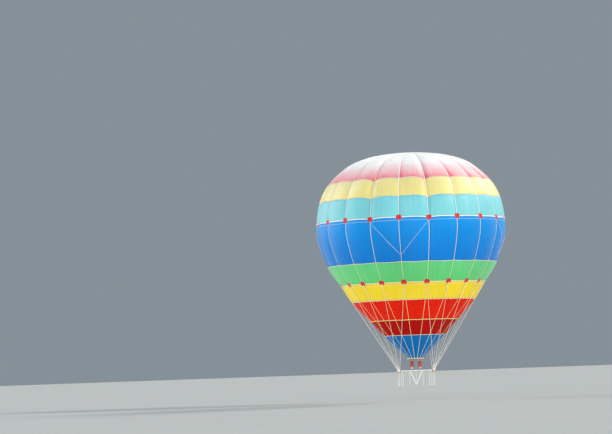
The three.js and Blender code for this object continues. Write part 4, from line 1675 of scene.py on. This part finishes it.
    def sleeve_part(self, side: int, first: int, last: int) -> Shape:
        """A part of a sleeve, between two rows of its outline, with folds that are deepest beside the tie."""
        rows = len(self.sleeve) - 1

        def folds(turn: Array, share: Array) -> Array:
            """Factor on the radius."""
            row = share * (last - first) + first
            gathered = np.exp(-(((row - self.tie_row) / self.gathered_rows) ** 2))
            crease = np.cos(9 * turn + side) + 0.4 * np.cos(14 * turn + 2.0 * side)
            swell = self.swell * np.sin(2 * turn + 1.3 * side)
            depth = self.gathers * gathered + self.creases
            return 1.0 + depth * crease * (row < rows - 0.5) + swell

        return lathed(self.sleeve[first : last + 1], columns=72, folds=folds, closed=False)

    def filling_sleeve(self, side: int, name: str) -> None:
        """A soft sleeve, gathered by a cord above its loose pale end."""
        middle = side * self.sleeve_offset
        place = move((middle, 0.0, 0.0))
        cloth = Assembly()
        cloth.add(self.sleeve_part(side, self.tie_row, len(self.sleeve) - 1), SLEEVE_CLOTH, place)
        cloth.add(self.sleeve_part(side, 0, self.tie_row), SLEEVE_LINING, place)
        piece = cloth.piece(f"{name}_cloth", Slot.SLEEVE_RED, [name])
        thicken(piece, self.cloth)
        tie_height = self.sleeve[self.tie_row][1]
        tie = Assembly()
        for turn in (-1, 0, 1):
            at = move((middle, 0.0, tie_height + self.tie_pitch * turn))
            lean = Matrix.Rotation(self.tie_lean * turn, 4, "X")
            tie.add(wire_ring(radius=0.028, wire=0.005), CREAM_ROPE, at @ lean)
        base = Vector((middle, -0.03, tie_height))
        for sway in (-1, 1):
            run = [base + Vector((sway * aside, out, up)) for aside, out, up in self.tail]
            tie.add(rope(run, radius=0.004, sides=6), CREAM_ROPE)
        tie.add(lathed(self.collar, columns=48), CREAM_TAPE, place)
        trim = tie.piece(f"{name}_tie", Slot.ROPE)

    def build(self) -> None:
        """Makes all pieces of the throat."""
        hem = Assembly().add(self.hem(), SHADED_HEM_CLOTH)
        for radius, height, finish in self.bands:
            hem.add(lathed([(radius + out, height + up) for out, up in self.band], columns=120), finish)
        hem.piece("throat_hem_gathered", Slot.TAPE, ["throat_hem"])
        self.lacing()
        self.plate()
        self.filling_sleeve(-1, "sleeve_left")
        self.filling_sleeve(1, "sleeve_right")


# The load frame's own sizes, which its ropes and straps share
FRAME_HALF = 0.93
SIDE_RADIUS = 0.03
CROSS_RADIUS = 0.025
FIT_GAP = 0.0003
# Turns from the first arm of the cross to each
ARM_TURNS = [Matrix.Rotation(QUARTER_TURN * arm, 4, "Z") for arm in range(4)]


@dataclass(frozen=True)
class Quarter:
    """A quarter of the balloon, with its corner of the load frame."""

    name: str
    sign_x: int
    sign_y: int

    @property
    def turn(self) -> float:
        """Turn of the corner."""
        return math.atan2(self.sign_x, -self.sign_y)

    @property
    def sockets(self) -> tuple[tuple[Vector, Matrix], ...]:
        """Direction from the corner along each side tube, with the turn that lays a tube that way."""
        return ((Vector((-self.sign_x, 0.0, 0.0)), ALONG_X), (Vector((0.0, -self.sign_y, 0.0)), ALONG_Y))

    def at(self, reach: float, height: float = 0.0) -> Vector:
        """The point that lies so far out along both axes."""
        return Vector((self.sign_x * reach, self.sign_y * reach, height))


QUARTERS = (
    Quarter("front_left", -1, -1),
    Quarter("front_right", 1, -1),
    Quarter("back_left", -1, 1),
    Quarter("back_right", 1, 1),
)


@dataclass(frozen=True)
class Stays:
    """Twenty ropes from the lower patches to spreader blocks on the corners of the load frame."""

    corner_top: float = 0.0363
    rope_radius: float = 0.0085
    drop: float = 0.095
    standoff: float = 0.043
    spreader: tuple[float, float, float] = (0.14, 0.044, 0.06)
    bolt_aside: float = 0.06
    bolt_below: float = 0.01
    places: tuple[int, ...] = (-2, -1, 0, 1, 2)
    pitch: float = 0.026
    meet: float = 0.035
    steps: int = 14
    sag: float = 0.004
    # Where the upper whipping starts above the stay, and the lower one on the stay's last step
    knot_above: float = 0.042
    whipping_share: float = 0.45
    whipping_steps: int = 8
    whipping_overlap: float = 1.05
    # Free end of the knot. columns: along the stay, down, aside
    free_end: tuple[tuple[float, float, float], ...] = (
        (0.035, 0.0, 0.0), (0.06, 0.004, 0.0), (0.1, 0.0, 0.03),
    )

    def whipping(self, radius: float, length: float, turns: int) -> Shape:
        """Turns of rope wound tightly along Z from the origin down."""
        steps = turns * self.whipping_steps
        route = []
        for step in range(steps + 1):
            angle = FULL_TURN * step / self.whipping_steps
            route.append(Vector((radius * math.cos(angle), radius * math.sin(angle), -length * step / steps)))
        return rope(route, length / turns / 2.0 * self.whipping_overlap, sides=6)

    def stay(self, target: Assembly, top: Vector, foot: Vector) -> None:
        """One stay with its knot and its whipping."""
        points = []
        for step in range(self.steps + 1):
            share = step / self.steps
            point = top.lerp(foot, share)
            point.z -= self.sag * (top - foot).length * 4.0 * share * (1.0 - share)
            points.append(point)
        target.add(rope(points, self.rope_radius, sides=10), CREAM_ROPE)
        heading = (foot - top).normalized()
        along = heading.to_track_quat("-Z", "Y").to_matrix().to_4x4()
        knot = move(top - heading * self.knot_above) @ along
        target.add(self.whipping(self.rope_radius + 0.005, length=0.075, turns=5), CREAM_ROPE, knot)
        low = move(points[-2].lerp(points[-1], self.whipping_share)) @ along
        target.add(self.whipping(self.rope_radius, length=0.05, turns=9), CREAM_ROPE, low)
        aside = heading.orthogonal().normalized()
        free_end = [top + heading * on - UP * down + aside * out for on, down, out in self.free_end]
        target.add(rope(free_end, radius=0.006, sides=6), CREAM_ROPE)

    def cluster(self, quarter: Quarter) -> None:
        """Five stays and the block on the corner in which they end."""
        length = SURFACE.length_at(Row.STAYS.value) - self.drop
        base = quarter.at(FRAME_HALF, self.corner_top)
        _, depth, height = self.spreader
        turned = move(base + UP * (height / 2.0)) @ Matrix.Rotation(quarter.turn, 4, "Z")
        ropes = Assembly()
        spreader = Assembly().add(block(Vector(self.spreader), rounding=0.007), WHITE_PAINT, turned)
        for place in self.places:
            top = SURFACE.point(quarter.turn + place * SURFACE.gore_angle, length, self.standoff)
            foot = base + sideways(quarter.turn) * place * self.pitch + UP * self.meet
            self.stay(ropes, top, foot)
            heading = (top - foot).normalized()
            above = foot + heading * ((height - self.meet) / heading.z)
            eyelet = wire_ring(self.rope_radius + 0.004, wire=0.0035, columns=16)
            spreader.add(eyelet, STEEL, move(above))
        for side in (-1, 1):
            bolt = rod(radius=0.009, length=depth + 0.016, sides=6, rounding=0.001)
            at = move((side * self.bolt_aside, 0.0, -self.bolt_below))
            spreader.add(bolt, STEEL, turned @ at @ ALONG_Y)
        ropes.piece(f"stay_ropes_{quarter.name}", Slot.ROPE, [f"stays_{quarter.name}"])
        spreader.piece(f"spreader_{quarter.name}", Slot.FRAME_PAINT)

    def build(self) -> None:
        """Makes the four clusters."""
        for quarter in QUARTERS:
            self.cluster(quarter)


@dataclass(frozen=True)
class LoadFrame:
    """The square frame that gathers the stays: corner blocks with sockets, side tubes and a cross."""

    block_half: float = 0.055
    block_height: float = 0.072
    socket_radius: float = 0.035
    socket_length: float = 0.05
    collar_length: float = 0.012
    weld: float = 0.005
    bolt_place: float = 0.038
    hub_radius: float = 0.033
    strap_place: float = 0.082
    strap_shares: tuple[float, ...] = (0.0, 0.3, 0.65, 0.9)
    strap_ring_out: float = 0.07
    strap_ring_height: float = -0.105

    def corner(self, quarter: Quarter) -> None:
        """A corner block with two sockets, collars and bolts."""
        at = move(quarter.at(FRAME_HALF))
        size = Vector((2.0 * self.block_half, 2.0 * self.block_half, self.block_height))
        made = Assembly().add(block(size, rounding=0.006), WHITE_PAINT, at)
        reach = self.block_half + self.socket_length
        half = self.collar_length / 2.0
        for way, turn in quarter.sockets:
            # columns: shape, distance from the middle of the block
            parts = (
                (rod(self.socket_radius, reach, sides=32, rounding=0.003), reach / 2.0),
                (rod(self.socket_radius + 0.003, self.collar_length, sides=32, rounding=0.003), reach - half),
                (wire_ring(self.socket_radius, self.weld, columns=32), self.block_half),
            )
            for part, distance in parts:
                made.add(part, WHITE_PAINT, at @ move(way * distance) @ turn)
        for side in (-1, 1):
            x = side * self.bolt_place
            y = x * quarter.sign_x * quarter.sign_y
            bolt = rod(radius=0.0085, length=0.008, sides=6, rounding=0.0012)
            made.add(bolt, STEEL, at @ move((x, y, self.block_height / 2.0 + 0.003)))
        made.piece(f"corner_{quarter.name}_cast", Slot.FRAME_PAINT, [f"corner_{quarter.name}"])

    def side(self, name: str, x: float, y: float, turn: Matrix) -> None:
        """A side tube with a sleeve and two bolts in its middle."""
        length = 2.0 * (FRAME_HALF - self.block_half - self.socket_length - FIT_GAP)
        turned = move((x, y, 0.0)) @ turn
        made = Assembly().add(rod(SIDE_RADIUS, length, sides=32, rounding=0.002), WHITE_PAINT, turned)
        made.add(rod(SIDE_RADIUS + 0.004, length=0.06, sides=32, rounding=0.003), WHITE_PAINT, turned)
        for place in (-0.018, 0.018):
            bolt = rod(radius=0.006, length=2.0 * SIDE_RADIUS + 0.02, sides=6, rounding=0.001)
            made.add(bolt, STEEL, turned @ raised(place) @ turn)
        made.piece(f"{name}_tube", Slot.FRAME_PAINT, [name])

    def cross(self) -> None:
        """Two tubes that meet in a welded hub."""
        length = 2.0 * (FRAME_HALF - SIDE_RADIUS - FIT_GAP)
        made = Assembly()
        for turn in (ALONG_Y, ALONG_X):
            made.add(rod(CROSS_RADIUS, length, sides=32, rounding=0.001), WHITE_PAINT, turn)
        made.add(rod(self.hub_radius, length=0.056, sides=32, rounding=0.004), WHITE_PAINT)
        out = move((self.hub_radius + 0.001, 0.0, 0.0)) @ ALONG_X
        for turn in ARM_TURNS:
            made.add(wire_ring(CROSS_RADIUS + 0.001, self.weld, columns=28), WHITE_PAINT, turn @ out)
        made.piece("frame_cross_tubes", Slot.FRAME_PAINT, ["frame_cross"])

    def straps(self) -> None:
        """Orange straps round the sockets of each corner, with a ring where they meet."""
        radius = self.socket_radius + 0.0045
        band = cuff_profile(radius - 0.003, radius + 0.0025, half=0.022, soft=(0.0015, 0.003))
        made = Assembly()
        for quarter in QUARTERS:
            ring_at = quarter.at(FRAME_HALF + self.strap_ring_out, self.strap_ring_height)
            for way, turn in quarter.sockets:
                middle = quarter.at(FRAME_HALF) + way * self.strap_place
                made.add(lathed(band, columns=32), ORANGE_STRAP, move(middle) @ turn)
                leg = [(middle - UP * radius).lerp(ring_at, share) for share in self.strap_shares]
                made.add(strap(leg, way, width=0.042, thickness=0.006), ORANGE_STRAP)
            flat = ALONG_Y @ Matrix.Rotation(math.atan2(quarter.sign_x, quarter.sign_y), 4, "Y")
            ring = wire_ring(radius=0.022, wire=0.005, columns=24, steps=10)
            made.add(ring, STEEL, move(ring_at) @ flat)
        made.piece("corner_straps", Slot.WEBBING)

    def build(self) -> None:
        """Makes the frame."""
        for quarter in QUARTERS:
            self.corner(quarter)
        self.side("frame_front", 0.0, -FRAME_HALF, ALONG_X)
        self.side("frame_back", 0.0, FRAME_HALF, ALONG_X)
        self.side("frame_left", -FRAME_HALF, 0.0, ALONG_Y)
        self.side("frame_right", FRAME_HALF, 0.0, ALONG_Y)
        self.cross()
        self.straps()


@dataclass(frozen=True)
class TetherBridle:
    """Four webbing legs from the cross down to a bound knot over the tether ring."""

    reach: float = 0.3
    width: float = 0.05
    thickness: float = 0.007
    bottom: float = -0.7
    spread: float = 0.016
    lap_shares: tuple[float, ...] = (0.02, 0.06, 0.12, 0.2)
    # Section of the knot's core. columns: radius, height
    core: tuple[Span, ...] = ((0.0, -0.024), (0.026, -0.024), (0.03, 0.0), (0.026, 0.024), (0.0, 0.024))
    knot_radius: float = 0.036
    knot_height: float = 0.05
    knot_wire: float = 0.007
    # Turns of rope round the knot. columns: height over its middle, lean
    knot_turns: tuple[Span, ...] = (
        (-0.01875, -0.025), (-0.00625, 0.025), (0.00625, -0.025), (0.01875, 0.025),
    )
    ring_radius: float = 0.045
    ring_wire: float = 0.009
    # Loop of webbing round the ring. columns: distance from the wire's middle, to the side
    loop: tuple[Span, ...] = (
        (0.0096, -0.014), (0.014, -0.014), (0.014, 0.014), (0.0096, 0.014), (0.0096, -0.014),
    )

    def leg(self, made: Assembly, turn: Matrix) -> None:
        """One leg with the wrap that holds it to the cross."""
        wrap = CROSS_RADIUS + 0.0008
        band = cuff_profile(wrap, wrap + self.thickness, self.width / 2.0, soft=(0.002, 0.002))
        at = move((self.reach, 0.0, 0.0)) @ ALONG_X
        made.add(lathed(band, columns=32), WHITE_WEBBING, turn @ at)
        top = Vector((self.reach, 0.0, -CROSS_RADIUS))
        end = Vector((self.spread, 0.0, self.bottom))
        route = [top.lerp(end, share) for share in np.linspace(0.0, 1.0, num=16)]
        across = Vector((end.z - top.z, 0.0, top.x - end.x)).normalized()
        made.add(strap(route, across, self.width, self.thickness), WHITE_WEBBING, turn)
        lap = [top.lerp(end, share) - Vector((0.0, 0.005, 0.0)) for share in self.lap_shares]
        made.add(strap(lap, across, self.width - 0.002, thickness=0.004), WHITE_WEBBING, turn)

    def build(self) -> None:
        """Makes the bridle and its ring."""
        made = Assembly()
        for turn in ARM_TURNS:
            self.leg(made, turn)
        made.add(lathed(self.core, columns=24), WHITE_WEBBING, raised(self.bottom))
        for height, lean in self.knot_turns:
            bound = wire_ring(self.knot_radius - self.knot_wire, self.knot_wire, columns=28, steps=10)
            made.add(bound, CREAM_ROPE, raised(self.bottom + height) @ Matrix.Rotation(lean, 4, "X"))
        below = self.bottom - self.knot_height / 2.0
        ring_middle = below - self.ring_radius - self.ring_wire - FIT_GAP
        loop_at = raised(ring_middle + self.ring_radius) @ ALONG_X
        made.add(lathed(self.loop, columns=24), WHITE_WEBBING, loop_at)
        made.piece("bridle_webbing", Slot.WEBBING, ["tether_bridle"])
        ring = wire_ring(self.ring_radius, self.ring_wire, columns=48, steps=16)
        steel = Assembly().add(ring, STEEL, raised(ring_middle) @ ALONG_Y)
        steel.piece("tether_ring_steel", Slot.STEEL, ["tether_ring"])


@dataclass(frozen=True)
class HangingLine:
    """Where a line hangs, half the thickness of what it hangs from, and how it sways."""

    name: str
    x: float
    y: float
    below: float
    sway_x: float
    sway_y: float

    @property
    def along_x(self) -> bool:
        """Whether what it hangs from runs along X."""
        return abs(self.y) in (0.0, FRAME_HALF)


# How far from the middle of a side a line is tied, and a bridle tail from the middle of the cross
LINE_PLACE = 0.745
TAIL_PLACE = 0.345


@dataclass(frozen=True)
class HangingLines:
    """Lines that hang free from the frame, each tied on with a hitch and ended with a knot."""

    radius: float = 0.01
    # columns: name, x, y, half thickness of what it hangs from, sway in x, in y
    lines: tuple[HangingLine, ...] = (
        HangingLine("line_front_left", -LINE_PLACE, -FRAME_HALF, SIDE_RADIUS, 1.0, -0.5),
        HangingLine("line_front_right", LINE_PLACE, -FRAME_HALF, SIDE_RADIUS, 0.6, 0.5),
        HangingLine("line_back_left", -LINE_PLACE, FRAME_HALF, SIDE_RADIUS, -0.8, 0.6),
        HangingLine("line_back_right", LINE_PLACE, FRAME_HALF, SIDE_RADIUS, -1.0, -0.4),
        HangingLine("line_left_front", -FRAME_HALF, -LINE_PLACE, SIDE_RADIUS, 0.4, 1.0),
        HangingLine("line_left_back", -FRAME_HALF, LINE_PLACE, SIDE_RADIUS, -0.5, 0.7),
        HangingLine("line_right_front", FRAME_HALF, -LINE_PLACE, SIDE_RADIUS, 0.8, -0.6),
        HangingLine("line_right_back", FRAME_HALF, LINE_PLACE, SIDE_RADIUS, -0.4, -1.0),
        HangingLine("tail_left", -TAIL_PLACE, 0.0, CROSS_RADIUS, -0.6, 0.3),
        HangingLine("tail_right", TAIL_PLACE, 0.0, CROSS_RADIUS, 0.7, -0.3),
    )
    # Route of a hanging line, shared by all of them. columns: drop, sideways at full sway
    route: tuple[Span, ...] = (
        (0.0, 0.0), (0.05, 0.0), (0.102, 0.001), (0.154, 0.003), (0.206, 0.006), (0.258, 0.01),
        (0.31, 0.014), (0.362, 0.018), (0.414, 0.021), (0.466, 0.023), (0.518, 0.024), (0.57, 0.024),
        (0.622, 0.022), (0.674, 0.019), (0.726, 0.015), (0.765, 0.012),
    )
    hitch_pitch: float = 0.0155
    hitch_lean: float = 0.12
    knot_pitch: float = 0.011
    knot_lean: float = 0.25
    # The knot sits on this point of the line, counted from its end
    knot_point: int = -3

    def end_knot(self) -> Shape:
        """Three turns round the line near its end."""
        made = Assembly()
        for turn in (-1, 0, 1):
            at = raised(self.knot_pitch * turn) @ Matrix.Rotation(self.knot_lean * turn, 4, "X")
            made.add(wire_ring(radius=0.013, wire=0.007, columns=16), CREAM_ROPE, at)
        return made.shape

    def hitch(self, target: Assembly, line: HangingLine) -> None:
        """Three turns round what the line hangs from."""
        half = self.radius * 0.8
        way = Vector((1.0, 0.0, 0.0)) if line.along_x else Vector((0.0, 1.0, 0.0))
        turn = ALONG_X if line.along_x else ALONG_Y
        for place in (-1, 0, 1):
            at = move(Vector((line.x, line.y, 0.0)) + way * place * self.hitch_pitch)
            lean = Matrix.Rotation(self.hitch_lean * place, 4, "Z")
            target.add(wire_ring(line.below + half, half, columns=24), CREAM_ROPE, at @ lean @ turn)

    def build(self) -> None:
        """Makes every line with its end knot, and all hitches as one piece."""
        drops, asides = np.array(self.route).T
        close = np.linspace(0.0, drops[-1], num=49)
        side = np.interp(close, drops, asides)
        hitches = Assembly()
        for line in self.lines:
            top = -line.below - FIT_GAP
            points = [
                Vector((line.x + aside * line.sway_x, line.y + aside * line.sway_y, top - drop))
                for drop, aside in zip(close, side)
            ]
            made = Assembly().add(rope(points, self.radius, sides=12), CREAM_ROPE)
            piece = made.piece(f"{line.name}_rope", Slot.ROPE, [line.name])
            knot = Assembly().add(self.end_knot(), CREAM_ROPE, move(points[self.knot_point]))
            tied = knot.piece(f"{line.name}_knot", Slot.ROPE)
            self.hitch(hitches, line)
        hitches.piece("line_hitches", Slot.ROPE)


@dataclass(frozen=True)
class Sight:
    """A place on the balloon's axis and where it shows in the photograph."""

    height: float
    pixel_x: float
    pixel_y: float


@dataclass(frozen=True)
class Sun:
    """A light from far away: the direction it shines, its strength, its angle in degrees and its colour."""

    name: str
    heading: tuple[float, float, float]
    strength: float
    spread: float
    colour: tuple[float, float, float]


@dataclass(frozen=True)
class Studio:
    """Camera at the photograph's angle, pale floor, plain backdrop colour and soft light."""

    image_width: int = 612
    image_height: int = 434
    focal_pixels: float = 2600.0
    sensor: float = 36.0
    clip_end: float = 2000.0
    distance: float = 138.3
    azimuth: float = math.radians(-2.0)
    eye_height: float = 0.19
    neck: Sight = Sight(height=0.505, pixel_x=415.8, pixel_y=361.0)
    shoulder: Sight = Sight(height=7.5, pixel_x=410.9, pixel_y=229.5)
    # Suns from the right, from the front, from behind on both sides and off the ground.
    # columns: name, direction it shines, strength, angle, colour
    suns: tuple[Sun, ...] = (
        Sun("key", (-0.82, 0.32, -0.47), 1.75, 14.0, (1.0, 0.98, 0.95)),
        Sun("fill", (0.12, 0.98, -0.12), 1.6, 60.0, (0.98, 0.99, 1.0)),
        Sun("left_rim", (0.9, -0.35, -0.25), 2.1, 60.0, (0.97, 0.99, 1.0)),
        Sun("right_rim", (-0.66, -0.52, -0.54), 1.45, 24.0, (1.0, 0.96, 0.93)),
        Sun("bounce", (0.0, 0.45, 0.89), 1.0, 70.0, (1.0, 0.99, 0.97)),
    )
    sky_colour: Colour = (134, 144, 152)
    floor_colour: Colour = (186, 188, 186)
    floor_height: float = -1.62
    floor_radius: float = 900.0

    def square_axes(self, first: Vector, second: Vector) -> Matrix:
        """Square axes from two directions, the first halfway between them."""
        middle = (first + second).normalized()
        normal = first.cross(second).normalized()
        return Matrix((middle, normal.cross(middle), normal)).transposed()

    def ray(self, sight: Sight) -> Vector:
        """The direction from the camera to a pixel, in the camera's own axes."""
        x = sight.pixel_x - self.image_width / 2
        y = self.image_height / 2 - sight.pixel_y
        return Vector((x, y, -self.focal_pixels)).normalized()

    def camera(self) -> None:
        """Sets the camera so that two sights on the axis fall on their pixels."""
        x = math.sin(self.azimuth) * self.distance
        y = -math.cos(self.azimuth) * self.distance
        eye = Vector((x, y, self.eye_height))
        sights = (self.neck, self.shoulder)
        world = [(Vector((0.0, 0.0, sight.height)) - eye).normalized() for sight in sights]
        rays = [self.ray(sight) for sight in sights]
        data = bpy.data.cameras.new("camera")
        data.sensor_width = self.sensor
        data.lens = self.sensor * self.focal_pixels / self.image_width
        data.clip_end = self.clip_end
        made = bpy.data.objects.new("camera", data)
        bpy.context.scene.collection.objects.link(made)
        turned = self.square_axes(*world) @ self.square_axes(*rays).transposed()
        made.matrix_world = move(eye) @ turned.to_4x4()
        bpy.context.scene.camera = made

    def light(self) -> None:
        """Sets the suns and an even sky."""
        for sun in self.suns:
            data = bpy.data.lights.new(sun.name, "SUN")
            data.energy = sun.strength
            data.angle = math.radians(sun.spread)
            data.color = sun.colour
            made = bpy.data.objects.new(sun.name, data)
            made.rotation_mode = "QUATERNION"
            made.rotation_quaternion = Vector(sun.heading).to_track_quat("-Z", "Y")
            bpy.context.scene.collection.objects.link(made)
        world = bpy.data.worlds.new("sky")
        world.use_nodes = True
        background = world.node_tree.nodes["Background"]
        background.inputs["Color"].default_value = linear(self.sky_colour)
        background.inputs["Strength"].default_value = 1.0
        bpy.context.scene.world = world
        bpy.context.scene.view_settings.view_transform = "Standard"

    def floor(self) -> None:
        """A wide plain floor at ground level."""
        shape = bmesh.new()
        place = raised(self.floor_height)
        bmesh.ops.create_circle(shape, cap_ends=True, segments=128, radius=self.floor_radius, matrix=place)
        mesh = bpy.data.meshes.new("floor")
        shape.to_mesh(mesh)
        shape.free()
        mesh.materials.append(material_of(FloorFinish("pale_floor", self.floor_colour)))
        floor = bpy.data.objects.new("floor", mesh)
        floor.visible_shadow = False
        bpy.context.scene.collection.objects.link(floor)

    def build(self) -> None:
        """Makes the whole studio."""
        self.camera()
        self.light()
        self.floor()


def main() -> None:
    """Builds the studio, then the balloon from its lines up."""
    logging.basicConfig(level=logging.INFO, format="%(message)s")
    Studio().build()
    HangingLines().build()
    Envelope().build()
    LoadTapes().build()
    Girdle(Row.GIRDLE, "", "girdle_upper", WHITE_TAPE, GIRDLE_PATCH, tape_width=0.05).build()
    Girdle(Row.STAYS, "stay_", "girdle_stay_patches", SEAM_TAPE, STAY_PATCH, tape_width=0.04).build()
    SideBridles().build()
    Crown().build()
    Valve().build()
    Throat().build()
    Stays().build()
    LoadFrame().build()
    TetherBridle().build()


if __name__ == "__main__":
    main()
